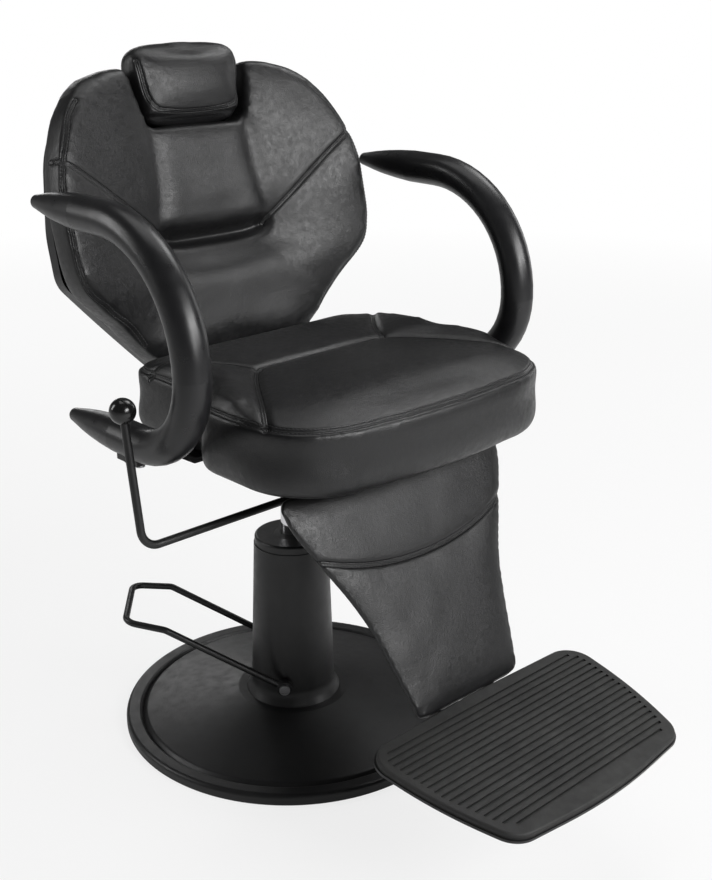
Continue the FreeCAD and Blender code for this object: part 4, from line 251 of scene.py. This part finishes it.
def tinted(tree, value, dark, light):
    """Turn a noise value into a colour between two."""
    node = add_node(tree, "Mix", data_type="RGBA")
    tree.links.new(value, node.inputs["Factor"])
    node.inputs[6].default_value = (*dark, 1)
    node.inputs[7].default_value = (*light, 1)
    return node.outputs[2]


def relief(tree, shader, value, distance, strength=1.0, under=None):
    """Let a value stand out of the surface by distance."""
    node = add_node(tree, "Bump", Strength=strength, Distance=distance)
    tree.links.new(value, node.inputs["Height"])
    if under:
        tree.links.new(under, node.inputs["Normal"])
    tree.links.new(node.outputs["Normal"], shader.inputs["Normal"])
    return node.outputs["Normal"]


CLOUD_SCALE, CLOUD_DETAIL = 9.0, 4.0
GLOSS_SCALE, GLOSS_DETAIL = 60.0, 5.0
PEEL_DETAIL = 2.0


def coated(name, dark, light, gloss, peel_scale, peel_height, metallic=0.0, stretch=None, coat=0.0):
    """A hard finish: cloudy colour, uneven gloss and a fine skin."""
    finish, tree, shader = new_finish(name)
    clouds = grain(tree, CLOUD_SCALE, CLOUD_DETAIL)
    tree.links.new(tinted(tree, between(tree, clouds, 0, 1), dark, light), shader.inputs["Base Color"])
    patches = grain(tree, GLOSS_SCALE, GLOSS_DETAIL, stretch)
    tree.links.new(between(tree, patches, *gloss), shader.inputs["Roughness"])
    relief(tree, shader, grain(tree, peel_scale, PEEL_DETAIL, stretch), peel_height)
    shader.inputs["Metallic"].default_value = metallic
    shader.inputs["Coat Weight"].default_value = coat
    return finish


# %% Metal, plastic, rubber and wood finishes
powder = coated("powder_coat", (0.006, 0.006, 0.0065), (0.011, 0.011, 0.0115), gloss=(0.36, 0.46),
                peel_scale=900.0, peel_height=0.00006)
cast = coated("cast_iron", (0.03, 0.03, 0.03), (0.06, 0.06, 0.058), gloss=(0.5, 0.65),
              peel_scale=350.0, peel_height=0.0003)
steel = coated("bright_steel", (0.42, 0.42, 0.43), (0.56, 0.56, 0.57), gloss=(0.26, 0.38),
               peel_scale=500.0, peel_height=0.00003, metallic=1.0, stretch=(1, 1, 12))
chrome = coated("chrome", (0.74, 0.74, 0.76), (0.82, 0.82, 0.84), gloss=(0.05, 0.11),
                peel_scale=300.0, peel_height=0.00001, metallic=1.0)
moulded = coated("moulded_skin", (0.008, 0.008, 0.009), (0.014, 0.014, 0.015), gloss=(0.27, 0.36),
                 peel_scale=1400.0, peel_height=0.00003)
knob = coated("knob_gloss", (0.006, 0.006, 0.006), (0.010, 0.010, 0.010), gloss=(0.16, 0.24),
              peel_scale=200.0, peel_height=0.00001, coat=0.15)
rubber = coated("ribbed_rubber", (0.012, 0.012, 0.012), (0.022, 0.022, 0.021), gloss=(0.52, 0.68),
                peel_scale=1100.0, peel_height=0.00012)
board = coated("stained_plywood", (0.018, 0.015, 0.012), (0.040, 0.034, 0.028), gloss=(0.55, 0.75),
               peel_scale=240.0, peel_height=0.0002, stretch=(1, 8, 1))
thread = coated("sewing_thread", (0.030, 0.030, 0.031), (0.060, 0.060, 0.061), gloss=(0.5, 0.62),
                peel_scale=2500.0, peel_height=0.0001)

# %% Put the hard finishes on the CAD pieces
finish_of_slot = {"powder_black": powder, "cast_black": cast, "steel": steel, "chromed": chrome,
                  "moulded_black": moulded, "knob_black": knob, "rubber_black": rubber, "plywood": board}
dressed = 0
for part in frame["record"]["subparts"]:
    finish = finish_of_slot.get(part["material_slot"])
    piece = frame["nodes"][part["node"]]
    if finish:
        dressed += 1
        for holder in piece.material_slots:
            holder.material = finish
print("CAD pieces with a hard finish:", dressed)

# %% [markdown]
# ## Leatherette
#
# The cover is coated fabric with a fine pebbled grain. Pebbles are cells of a Voronoi texture,
# and creases are noise on top. A number stored on each point of a cushion tells how far it is
# from the nearest seam: the finish uses it to press two lines in where the stitches run, and to
# leave the strip between them standing, finer than the mesh could.

# %% Leatherette finish
SEAM_REACH = 0.012
SEAM_RELIEF = 0.0016
CLOUDS_ON_LEATHER = 7.0
PATCHES_ON_LEATHER = 110.0
PEBBLE_SCALE, PEBBLE_HEIGHT = 820.0, 0.00022
CREASE_SCALE, CREASE_HEIGHT = 150.0, 0.0005

leather, tree, shader = new_finish("leatherette")
clouds = grain(tree, CLOUDS_ON_LEATHER, 5.0)
tree.links.new(tinted(tree, between(tree, clouds, 0, 1), (0.006, 0.006, 0.0065), (0.012, 0.012, 0.0125)),
               shader.inputs["Base Color"])
patches = grain(tree, PATCHES_ON_LEATHER, 6.0)
tree.links.new(between(tree, patches, 0.28, 0.46), shader.inputs["Roughness"])
place = add_node(tree, "TexCoord")
pebbles = add_node(tree, "TexVoronoi", Scale=PEBBLE_SCALE)
tree.links.new(place.outputs["Object"], pebbles.inputs["Vector"])
fine = relief(tree, shader, pebbles.outputs["Distance"], PEBBLE_HEIGHT, strength=0.9)
creases = grain(tree, CREASE_SCALE, 6.0)
creased = relief(tree, shader, creases, CREASE_HEIGHT, strength=0.5, under=fine)
near = add_node(tree, "Attribute", attribute_name="seam")
reach = between(tree, near.outputs["Fac"], 0, 1, 0, SEAM_REACH)
profile = add_node(tree, "ValToRGB")
# share of SEAM_REACH, height of the leather there
stops = [(0.0, 0.65), (0.08, 0.88), (0.17, 0.88), (0.28, 0.25), (0.40, 0.9), (0.6, 1.0), (1.0, 0.97)]
ramp = profile.color_ramp.elements
for index, (spot, level) in enumerate(stops):
    stop = ramp[index] if index < 2 else ramp.new(spot)
    stop.position = spot
    stop.color = (level, level, level, 1)
tree.links.new(reach, profile.inputs["Fac"])
relief(tree, shader, profile.outputs["Color"], SEAM_RELIEF, under=creased)
print("leatherette nodes:", len(tree.nodes))

# %% [markdown]
# ## How the upholstery is made
#
# Real upholstery is a sewn cover over foam that is a little too big for it, so every panel swells
# between its seams. The same happens here: a copy of the CAD solid is remeshed evenly, held fast
# at its seams and where it rests on its board, and blown up with Blender's cloth. The cloth's own
# moves are scaled down and evened out, so that each panel keeps a soft crown and few wrinkles.
# The seams are then drawn in with small vertex moves, because the remesh would erase them.

# %% Soft copies
MERGE_REACH = 1e-5


def merged_copy(node, name):
    """A copy of a CAD solid's mesh as an object of its own, with its loose triangles joined."""
    shape = bmesh.new()
    shape.from_mesh(frame["nodes"][node].data)
    bmesh.ops.remove_doubles(shape, verts=shape.verts, dist=MERGE_REACH)
    mesh = bpy.data.meshes.new(name)
    shape.to_mesh(mesh)
    shape.free()
    piece = bpy.data.objects.new(name, mesh)
    scene.collection.objects.link(piece)
    return piece


def settle(piece):
    """Keep what the modifiers make of a piece as its mesh."""
    graph = bpy.context.evaluated_depsgraph_get()
    made = bpy.data.meshes.new_from_object(piece.evaluated_get(graph))
    made.name = piece.name
    piece.modifiers.clear()
    piece.data = made


def evened(piece, voxel, rounds):
    """Remesh a piece into even squares and soften the steps that this leaves."""
    squares = piece.modifiers.new("even", "REMESH")
    squares.mode = "VOXEL"
    squares.voxel_size = voxel
    settle(piece)
    relaxed(piece, rounds)


def smoothed(shape, points, rounds):
    """Move points of a mesh towards the middle of their neighbours, again and again."""
    for step in range(rounds):
        bmesh.ops.smooth_vert(shape, verts=points, factor=0.5, use_axis_x=True, use_axis_y=True,
                              use_axis_z=True)


def relaxed(piece, rounds, chosen=None):
    """Smooth a piece, or only the points that chosen(point, normal) picks."""
    shape = bmesh.new()
    shape.from_mesh(piece.data)
    points = [vertex for vertex in shape.verts if not chosen or chosen(vertex.co, vertex.normal)]
    smoothed(shape, points, rounds)
    shape.to_mesh(piece.data)
    shape.free()


def skin_of(piece):
    """A tree of the piece's faces, to drop seams on."""
    shape = bmesh.new()
    shape.from_mesh(piece.data)
    skin = BVHTree.FromBMesh(shape)
    shape.free()
    return skin


# %% Seam lines
LINE_STEP = 0.001
RAY_START = 0.4


def softened(points, rounds=3):
    """Cut a line's corners again and again, until it runs in soft curves."""
    for step in range(rounds):
        cut = [points[0]]
        for here, there in zip(points, points[1:]):
            cut += [here.lerp(there, 0.25), here.lerp(there, 0.75)]
        points = cut + [points[-1]]
    return points


def evenly(points, step):
    """Points along a line, one every step."""
    spaced, left = [points[0]], step
    for here, there in zip(points, points[1:]):
        run = (there - here).length
        while run > 0 and left <= run:
            here = here.lerp(there, left / run)
            run = (there - here).length
            spaced.append(here)
            left = step
        left -= run
    return spaced


def laid_on(skin, points, inward):
    """Drop a line on the skin. Gives a list of places and outward directions."""
    line = []
    for point in evenly(points, LINE_STEP):
        spot, normal, index, distance = skin.ray_cast(point - inward * RAY_START, inward)
        if spot:
            line.append((spot, normal))
    return line


def tree_of(lines):
    """All points of some seam lines, to ask for the nearest one."""
    points = [spot for line in lines for spot in line]
    tree = KDTree(len(points))
    for index, (spot, normal) in enumerate(points):
        tree.insert(spot, index)
    tree.balance()
    return tree, points


# %% Blowing up and drawing in
CLOTH_QUALITY = 6
CLOTH_MASS = 0.3
CLOTH_STEPS = 20
PUFF = 0.6
WRINKLE_ROUNDS = 26
WRINKLE_SHARE = 0.10
CREASE_FADE = 30
REFINED_REACH = 0.005


def swollen(piece, holds, cap, pressure=4.0):
    """Blow a piece up like a stuffed cover. holds(point, normal) is 1 where it is held fast.

    The furthest point ends up cap away from its start, and the others keep their share of it.
    """
    start = [vertex.co.copy() for vertex in piece.data.vertices]
    held = piece.vertex_groups.new(name="held")
    for vertex in piece.data.vertices:
        held.add([vertex.index], holds(vertex.co, vertex.normal), "REPLACE")
    cloth = piece.modifiers.new("cover", "CLOTH")
    cloth.settings.quality = CLOTH_QUALITY
    cloth.settings.mass = CLOTH_MASS
    cloth.settings.use_pressure = True
    cloth.settings.uniform_pressure_force = pressure
    cloth.settings.effector_weights.gravity = 0
    cloth.settings.vertex_group_mass = "held"
    cloth.collision_settings.use_self_collision = False
    for step in range(1, CLOTH_STEPS + 1):
        scene.frame_set(step)
    settle(piece)
    scene.frame_set(1)
    piece.vertex_groups.clear()
    moves = [vertex.co - place for vertex, place in zip(piece.data.vertices, start)]
    furthest = max(move.length for move in moves)
    for vertex, place, move in zip(piece.data.vertices, start, moves):
        if move.length > 0:
            vertex.co = place + move.normalized() * (cap * (move.length / furthest) ** PUFF)
    calmed(piece, start)
    print(piece.name, "swelled by mm", round(furthest * 1000, 1), "scaled to", round(cap * 1000, 1))


def calmed(piece, start):
    """Even out how far the cover's points have moved, and keep a share of its wrinkles."""
    shape = bmesh.new()
    shape.from_mesh(piece.data)
    for vertex, place in zip(shape.verts, start):
        vertex.co -= place
    moves = [vertex.co.copy() for vertex in shape.verts]
    smoothed(shape, shape.verts[:], WRINKLE_ROUNDS)
    for vertex, place, move in zip(shape.verts, start, moves):
        vertex.co = place + vertex.co.lerp(move, WRINKLE_SHARE)
    shape.to_mesh(piece.data)
    shape.free()


def finer(piece):
    """Divide a piece's faces once, and round them."""
    divide = piece.modifiers.new("finer", "SUBSURF")
    divide.levels = divide.render_levels = 1
    settle(piece)


FADE_WIDTHS = 3


def drawn_in(piece, line, depth, width):
    """Pull the cover in along a seam: deepest on the line, fading out on both sides."""
    tree, points = tree_of([line])
    for vertex in piece.data.vertices:
        spot, index, distance = tree.find(vertex.co)
        if distance < FADE_WIDTHS * width:
            vertex.co -= points[index][1] * (depth * math.exp(-((distance / width) ** 2)))


def rolled(piece, line, depth, above, below, upwards):
    """Pull the cover in along an open crease: a full roll hangs over it, a short slope leads out below."""
    tree, points = tree_of([line])
    for vertex in piece.data.vertices:
        spot, index, distance = tree.find(vertex.co)
        reach = above if (vertex.co - spot).dot(upwards) > 0 else below
        fade = min(1.0, min(index, len(points) - 1 - index) / CREASE_FADE)
        if distance < FADE_WIDTHS * reach:
            vertex.co -= points[index][1] * (depth * fade * math.exp(-((distance / reach) ** 2)))


def loosened(piece, height, wave):
    """Give the cover the slight unevenness of real upholstery."""
    outwards = [vertex.normal.copy() for vertex in piece.data.vertices]
    for vertex, out in zip(piece.data.vertices, outwards):
        vertex.co += out * (height * noise.noise(vertex.co / wave))


def refined(piece, lines):
    """Divide the faces beside some seams once more, so that the seams' relief has points to rest on."""
    tree, points = tree_of(lines)
    shape = bmesh.new()
    shape.from_mesh(piece.data)
    beside_seam = [edge for edge in shape.edges
                   if tree.find(edge.verts[0].co.lerp(edge.verts[1].co, 0.5))[2] < REFINED_REACH]
    made = bmesh.ops.subdivide_edges(shape, edges=beside_seam, cuts=1, use_grid_fill=True)
    fresh = [item for item in made["geom_inner"] if isinstance(item, bmesh.types.BMVert)]
    smoothed(shape, fresh, 2)
    shape.to_mesh(piece.data)
    shape.free()


def marked(piece, lines):
    """Store each point's distance from the nearest stitched seam."""
    refined(piece, lines)
    tree, points = tree_of(lines)
    store = piece.data.attributes.new("seam", "FLOAT", "POINT")
    store.data.foreach_set("value", [min(tree.find(v.co)[2], SEAM_REACH) for v in piece.data.vertices])


# %% Stitches
STITCH_PITCH = 0.0058
STITCH_LENGTH = 0.0044
STITCH_WIDTH = 0.0011
STITCH_ROW = 0.0034


def thread_bead():
    """One stitch: a slim bead of thread along X."""
    shape = bmesh.new()
    size = Matrix.Diagonal((STITCH_LENGTH / 2, STITCH_WIDTH / 2, STITCH_WIDTH / 2, 1))
    bmesh.ops.create_uvsphere(shape, u_segments=6, v_segments=5, radius=1, matrix=size)
    mesh = bpy.data.meshes.new("thread_bead")
    shape.to_mesh(mesh)
    shape.free()
    return mesh


def beside(skin, line, row):
    """A line that runs beside a seam on the skin, at a distance to its left or right."""
    spots = evenly([spot for spot, normal in line], STITCH_PITCH / 2)
    route = []
    for here, there in zip(spots, spots[1:]):
        place, out, index, distance = skin.find_nearest(here)
        side = (there - here).cross(out).normalized()
        route.append(skin.find_nearest(here + side * row)[0])
    return route


def row_of_stitches(name, route):
    """Beads in a row, bent along a route: an Array modifier repeats one, a Curve modifier bends the row."""
    wire = bpy.data.curves.new(name, "CURVE")
    wire.dimensions = "3D"
    spline = wire.splines.new("POLY")
    spline.points.add(len(route) - 1)
    for point, place in zip(spline.points, route):
        point.co = (*place, 1)
    guide = bpy.data.objects.new(name + "_guide", wire)
    row = bpy.data.objects.new(name, thread_bead())
    for item in (guide, row):
        scene.collection.objects.link(item)
    length = sum((there - here).length for here, there in zip(route, route[1:]))
    repeat = row.modifiers.new("repeat", "ARRAY")
    repeat.use_relative_offset = False
    repeat.use_constant_offset = True
    repeat.constant_offset_displace = (STITCH_PITCH, 0, 0)
    repeat.count = max(1, int(length / STITCH_PITCH))
    bend = row.modifiers.new("bend", "CURVE")
    bend.object = guide
    settle(row)
    mesh = row.data
    for item in (guide, row):
        bpy.data.objects.remove(item)
    return mesh


def stitched(name, body, skin, lines, rows=(-STITCH_ROW, STITCH_ROW)):
    """Rows of stitches beside some seam lines, as one piece that lies on the skin."""
    shape = bmesh.new()
    for line in lines:
        for row in rows:
            shape.from_mesh(row_of_stitches(name, beside(skin, line, row)))
    mesh = bpy.data.meshes.new(name)
    shape.to_mesh(mesh)
    shape.free()
    mesh.shade_smooth()
    mesh.materials.append(thread)
    piece = bpy.data.objects.new(name, mesh)
    scene.collection.objects.link(piece)
    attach(piece, body)
    print(name, "stitch faces:", len(mesh.polygons))


def upholster(piece, body, node):
    """Dress a finished cushion and let it stand for its CAD solid."""
    piece.data.materials.clear()
    piece.data.materials.append(leather)
    piece.data.shade_smooth()
    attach(piece, body)
    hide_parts(node)
    print(piece.name, "faces:", len(piece.data.polygons))


# %% [markdown]
# ## Seat cushion
#
# The seat has a front panel, a rear panel and two raised side bolsters, sewn together on top, and
# a deep band round its sides. The band's edge is a double stitched seam at one height, so a cut
# through the mesh at that height gives its line.

# %% Seat cushion
SEAT_SEAM = 0.656
SEAT_TOP = 0.655
SEAT_HELD_UNDER = 0.580
RIM_REACH = 0.02
HOLD_REACH = 0.006
DOWN = Vector((0, 0, -1))

seat = merged_copy("seat_cushion", "seat_upholstery")
evened(seat, voxel=0.006, rounds=5)


def seat_top(point, normal):
    """The seat's upper side."""
    return normal.z > 0.35 and point.z > SEAT_TOP


relaxed(seat, 10, seat_top)


def rear_first(edge):
    """Sorts edges by their place, so that a line starts at the rear in every run."""
    middle = (edge.verts[0].co + edge.verts[1].co) / 2
    return -middle.y, middle.x, middle.z


def level_loop(piece, height):
    """The closed line in which a level plane cuts a piece, from its rearmost edge on."""
    shape = bmesh.new()
    shape.from_mesh(piece.data)
    cut = bmesh.ops.bisect_plane(shape, geom=shape.verts[:] + shape.edges[:] + shape.faces[:],
                                 plane_co=(0, 0, height), plane_no=(0, 0, 1))
    edges = [item for item in cut["geom_cut"] if isinstance(item, bmesh.types.BMEdge)]
    longest, left = [], set(edges)
    for edge in sorted(edges, key=rear_first):
        if edge not in left:
            continue
        left.discard(edge)
        line = sorted(edge.verts, key=lambda vertex: vertex.co.x)
        grown = True
        while grown:
            grown = False
            for other in line[-1].link_edges:
                if other in left:
                    left.discard(other)
                    line.append(other.other_vert(line[-1]))
                    grown = True
                    break
        if len(line) > len(longest):
            longest = line
    loop = [vertex.co.copy() for vertex in longest] + [longest[0].co.copy()]
    shape.free()
    return loop


def on_skin(skin, points):
    """Points of a line with the skin's outward directions there."""
    return [skin.find_nearest(point)[:2] for point in evenly(points, LINE_STEP)]


def steadied(skin, line, rounds=3, reach=12):
    """Even out a line that hops from face to face, and lay it on the skin again."""
    spots = [spot for spot, normal in line]
    for step in range(rounds):
        near = [spots[max(0, index - reach):index + reach + 1] for index in range(len(spots))]
        spots = [skin.find_nearest(sum(group, Vector()) / len(group))[0] for group in near]
    return on_skin(skin, spots)


def mirrored(points):
    return [Vector((-point.x, point.y, point.z)) for point in points]


panel_side = [Vector((0.262, -0.262, 0.7)), Vector((0.138, -0.080, 0.7))]
panel_seam = softened(panel_side + [Vector((0.1, -0.080, 0.7))] + list(reversed(
    mirrored(panel_side + [Vector((0.1, -0.080, 0.7))]))), 4)
bolster_crease = softened([Vector((0.130, -0.086, 0.7)), Vector((0.150, -0.045, 0.7)),
                           Vector((0.205, 0.020, 0.7)), Vector((0.236, 0.044, 0.7))])


def seat_lines(piece):
    """The seat's seams on its present skin: edge, panel seam and bolster creases."""
    skin = skin_of(piece)
    edge = on_skin(skin, level_loop(piece, SEAT_SEAM))
    panel = laid_on(skin, panel_seam, DOWN)
    creases = [laid_on(skin, route, DOWN) for route in (bolster_crease, mirrored(bolster_crease))]
    return skin, edge, panel, creases


skin, edge, panel, creases = seat_lines(seat)
near_seam, seam_points = tree_of([edge, panel, *creases])


def seat_held(point, normal):
    """The underside, the band's lower part and the seams stay where they are."""
    if normal.z < -0.5 or point.z < SEAT_HELD_UNDER:
        return 1.0
    return 1.0 if near_seam.find(point)[2] < HOLD_REACH else 0.0


swollen(seat, seat_held, cap=0.009)


def seat_rim(point, normal):
    """The seat's sewn edge and what lies next to it."""
    return abs(point.z - SEAT_SEAM) < RIM_REACH


relaxed(seat, 6, seat_rim)
finer(seat)
loosened(seat, height=0.0006, wave=0.05)
skin, edge, panel, creases = seat_lines(seat)
drawn_in(seat, edge, depth=0.0022, width=0.0045)
drawn_in(seat, panel, depth=0.0045, width=0.007)
for crease in creases:
    drawn_in(seat, crease, depth=0.004, width=0.007)
skin, edge, panel, creases = seat_lines(seat)
marked(seat, [edge, panel, *creases])
upholster(seat, "seat", "seat_cushion")
stitched("seat_stitches", "seat", skin, [edge])

# %% [markdown]
# ## Back cushion
#
# The back wraps round the sitter. A deep crease crosses it at the waist, two seams run from the
# crease's ends up to the sides like a V, and a stitched seam follows the front's border. The
# middle panel stands out softly between two shallow valleys that come down from the headrest.

# %% Back cushion
BACK_FRAME = Matrix.Translation((0, 0.181, 0.825)) @ Matrix.Rotation(math.radians(-13.9), 4, "X")
BACK_INWARD = (BACK_FRAME.to_3x3() @ Vector((0, 1, 0))).normalized()

cushion = merged_copy("back_cushion", "back_upholstery")
evened(cushion, voxel=0.006, rounds=5)


def on_back(points):
    """Points given across and up the back, as places in the chair's frame."""
    return [BACK_FRAME @ Vector((across, 0, rise)) for across, rise in points]


def half_widths(piece, step=0.012):
    """The back's half width at evenly spaced heights along its slope."""
    widest = {}
    inverse = BACK_FRAME.inverted()
    for vertex in piece.data.vertices:
        local = inverse @ vertex.co
        level = round(local.z / step)
        widest[level] = max(widest.get(level, 0), abs(local.x))
    return [(widest[level], level * step) for level in sorted(widest)]


BACK_RADIUS = 0.755
CORNER_ROUND = 0.013
CORNER_FADE = 0.027
CORNER_SHARE = 0.65
OUTLINE_TOP = 0.262
outline = [spot for spot in half_widths(cushion) if spot[1] < OUTLINE_TOP]


def half_width_at(rise):
    """The back's half width at a height, read between two measured levels."""
    for (low_half, low), (high_half, high) in zip(outline, outline[1:]):
        if low <= rise <= high:
            return low_half + (high_half - low_half) * (rise - low) / (high - low)
    return outline[0][0] if rise < outline[0][1] else outline[-1][0]


def squared(piece):
    """Let the front reach further out to the sides, so that it meets them in a fuller corner."""
    inverse = BACK_FRAME.inverted()
    for vertex in piece.data.vertices:
        local = inverse @ vertex.co
        left = max(0.0, half_width_at(local.z) - abs(local.x))
        if left < CORNER_ROUND:
            shift = CORNER_SHARE * left
        else:
            fade = max(0.0, 1 - (left - CORNER_ROUND) / CORNER_FADE)
            shift = CORNER_SHARE * CORNER_ROUND * fade ** 2
        local.x += math.copysign(shift, local.x)
        vertex.co = BACK_FRAME @ local


MIDDLE_HALF = 0.21
MIDDLE_LOW, MIDDLE_HIGH = -0.19, 0.15


def back_middle(point, normal):
    """The front of the back between its wings, under the headrest."""
    local = BACK_FRAME.inverted() @ point
    inside = abs(local.x) < MIDDLE_HALF and MIDDLE_LOW < local.z < MIDDLE_HIGH
    return inside and normal.dot(BACK_INWARD) < -0.5


squared(cushion)
relaxed(cushion, 30, back_middle)

BORDER_INSET = 0.004
BORDER_LIFT = 0.010
BORDER_LOW = -0.185
BORDER_LEAST_HALF = 0.150
border_half = []
for before, here, after in zip(outline, outline[1:], outline[2:]):
    along = Vector((after[0] - before[0], after[1] - before[1])).normalized()
    border_half.append((here[0] - along.y * BORDER_INSET, here[1] + along.x * BORDER_INSET))
border_half = [spot for spot in border_half if spot[1] > BORDER_LOW and spot[0] > BORDER_LEAST_HALF]
v_seam = [(0.300, 0.140), (0.250, 0.110), (0.112, 0.007), (0.104, -0.004)]
waist_crease = [(0.118, 0.006), (0.098, -0.009), (0.0, -0.012), (-0.098, -0.009), (-0.118, 0.006)]
waist_roll = [(0.092, 0.024), (0.0, 0.018), (-0.092, 0.024)]
valley = [(0.096, 0.165), (0.098, 0.100), (0.108, 0.010)]


def flipped(points):
    return [(-across, rise) for across, rise in points]


def back_lines(piece):
    """The back's seams on its present skin: borders, V seams, waist crease and valleys."""
    skin = skin_of(piece)

    def lay(points):
        return laid_on(skin, softened(on_back(points)), BACK_INWARD)

    borders = []
    for half in (border_half, flipped(border_half)):
        corner = []
        for across, rise in half:
            front = math.sqrt(BACK_RADIUS ** 2 - across ** 2) - BACK_RADIUS - BORDER_LIFT
            corner.append(BACK_FRAME @ Vector((across + math.copysign(BORDER_LIFT, across), front, rise)))
        borders.append(steadied(skin, on_skin(skin, softened(corner))))
    seams = [lay(v_seam), lay(flipped(v_seam))]
    return skin, borders, seams, lay(waist_crease), lay(waist_roll), [lay(valley), lay(flipped(valley))]


skin, borders, seams, waist, roll, valleys = back_lines(cushion)
near_back_seam, back_points = tree_of([*borders, *seams, waist])


def back_held(point, normal):
    """The rear and the seams stay where they are."""
    if normal.dot(BACK_INWARD) > 0.4:
        return 1.0
    return 1.0 if near_back_seam.find(point)[2] < HOLD_REACH else 0.0


swollen(cushion, back_held, cap=0.009)
finer(cushion)
loosened(cushion, height=0.0006, wave=0.06)
skin, borders, seams, waist, roll, valleys = back_lines(cushion)
BACK_UPWARD = (BACK_FRAME.to_3x3() @ Vector((0, 0, 1))).normalized()
drawn_in(cushion, roll, depth=-0.005, width=0.020)
rolled(cushion, waist, depth=0.017, above=0.015, below=0.010, upwards=BACK_UPWARD)
for line in valleys:
    drawn_in(cushion, line, depth=0.005, width=0.018)
for line in [*borders, *seams]:
    drawn_in(cushion, line, depth=0.0022, width=0.005)
skin, borders, seams, waist, roll, valleys = back_lines(cushion)
marked(cushion, [*borders, *seams])
upholster(cushion, "back", "back_cushion")
stitched("back_stitches", "back", skin, [*borders, *seams])

# %% [markdown]
# ## Headrest and leg rest
#
# Both are smaller pads of the same make. The headrest has a sewn front panel over a lower band.
# The leg rest has one curved seam that crosses it under the knee.

# %% Headrest pad
pillow = merged_copy("headrest_pad", "headrest_upholstery")
evened(pillow, voxel=0.004, rounds=6)
pillow_band = [(0.096, 0.275), (0.092, 0.234), (0.084, 0.202), (0.060, 0.194), (0.0, 0.192),
               (-0.060, 0.194), (-0.084, 0.202), (-0.092, 0.234), (-0.096, 0.275)]


def pillow_lines(piece):
    skin = skin_of(piece)
    return skin, laid_on(skin, softened(on_back(pillow_band)), BACK_INWARD)


PILLOW_HOLD = 0.004
TUCK_RUN = 0.006
TUCK_REAR, TUCK_FADE = 0.015, 0.02


def share(value):
    """A value kept between 0 and 1."""
    return min(1.0, max(0.0, value))


def tucked(piece, seam_rise, depth):
    """Set the lower band back under the front panel."""
    inverse = BACK_FRAME.inverted()
    for vertex in piece.data.vertices:
        local = inverse @ vertex.co
        under = share((seam_rise - local.z) / TUCK_RUN)
        front = share((TUCK_REAR - local.y) / TUCK_FADE)
        local.y += depth * under * front
        vertex.co = BACK_FRAME @ local


skin, band = pillow_lines(pillow)
near_band, band_points = tree_of([band])


def pillow_held(point, normal):
    """The rear and the seam stay where they are."""
    if normal.dot(BACK_INWARD) > 0.6:
        return 1.0
    return 1.0 if near_band.find(point)[2] < PILLOW_HOLD else 0.0


swollen(pillow, pillow_held, cap=0.009, pressure=7.0)
finer(pillow)
tucked(pillow, seam_rise=0.194, depth=0.007)
skin, band = pillow_lines(pillow)
drawn_in(pillow, band, depth=0.002, width=0.004)
skin, band = pillow_lines(pillow)
marked(pillow, [band])
upholster(pillow, "headrest", "headrest_pad")
stitched("headrest_stitches", "headrest", skin, [band], (STITCH_ROW,))

# %% Leg rest pad
LEG_FRAME = Matrix.Translation((0, -0.203, 0.480)) @ Matrix.Rotation(math.radians(-28), 4, "X")
LEG_INWARD = (LEG_FRAME.to_3x3() @ Vector((0, 1, 0))).normalized()

leg = merged_copy("legrest_pad", "legrest_upholstery")
evened(leg, voxel=0.005, rounds=3)


def leg_front(point, normal):
    """The leg rest's front face, without its edges."""
    return normal.dot(LEG_INWARD) < -0.75


relaxed(leg, 24, leg_front)
knee_seam = [(0.210, -0.064), (0.150, -0.090), (0.080, -0.107), (0, -0.113), (-0.080, -0.107),
             (-0.150, -0.090), (-0.210, -0.064)]


def leg_lines(piece):
    skin = skin_of(piece)
    route = [LEG_FRAME @ Vector((across, 0, rise)) for across, rise in knee_seam]
    return skin, laid_on(skin, softened(route), LEG_INWARD)


skin, knee = leg_lines(leg)
near_knee, knee_points = tree_of([knee])


LEG_HOLD = 0.005
HEM_TOP, HEM_RUN = -0.300, 0.025
HEM_FRONT, HEM_FADE = -0.062, 0.012
HEM_FRONT_SHARE = 0.35


def leg_held(point, normal):
    """The rear and the seam stay where they are."""
    if normal.dot(LEG_INWARD) > 0.3:
        return 1.0
    return 1.0 if near_knee.find(point)[2] < LEG_HOLD else 0.0


def lengthened(piece, reach):
    """Draw the lower end of the pad down behind the foot plate's edge."""
    inverse = LEG_FRAME.inverted()
    for vertex in piece.data.vertices:
        local = inverse @ vertex.co
        low = share((HEM_TOP - local.z) / HEM_RUN)
        behind = share((local.y - HEM_FRONT) / HEM_FADE)
        local.z -= reach * low * (HEM_FRONT_SHARE + (1 - HEM_FRONT_SHARE) * behind)
        vertex.co = LEG_FRAME @ local


swollen(leg, leg_held, cap=0.003)
lengthened(leg, reach=0.009)
finer(leg)
loosened(leg, height=0.0007, wave=0.05)
skin, knee = leg_lines(leg)
drawn_in(leg, knee, depth=0.0028, width=0.005)
skin, knee = leg_lines(leg)
marked(leg, [knee])
upholster(leg, "legrest", "legrest_pad")
stitched("legrest_stitches", "legrest", skin, [knee])
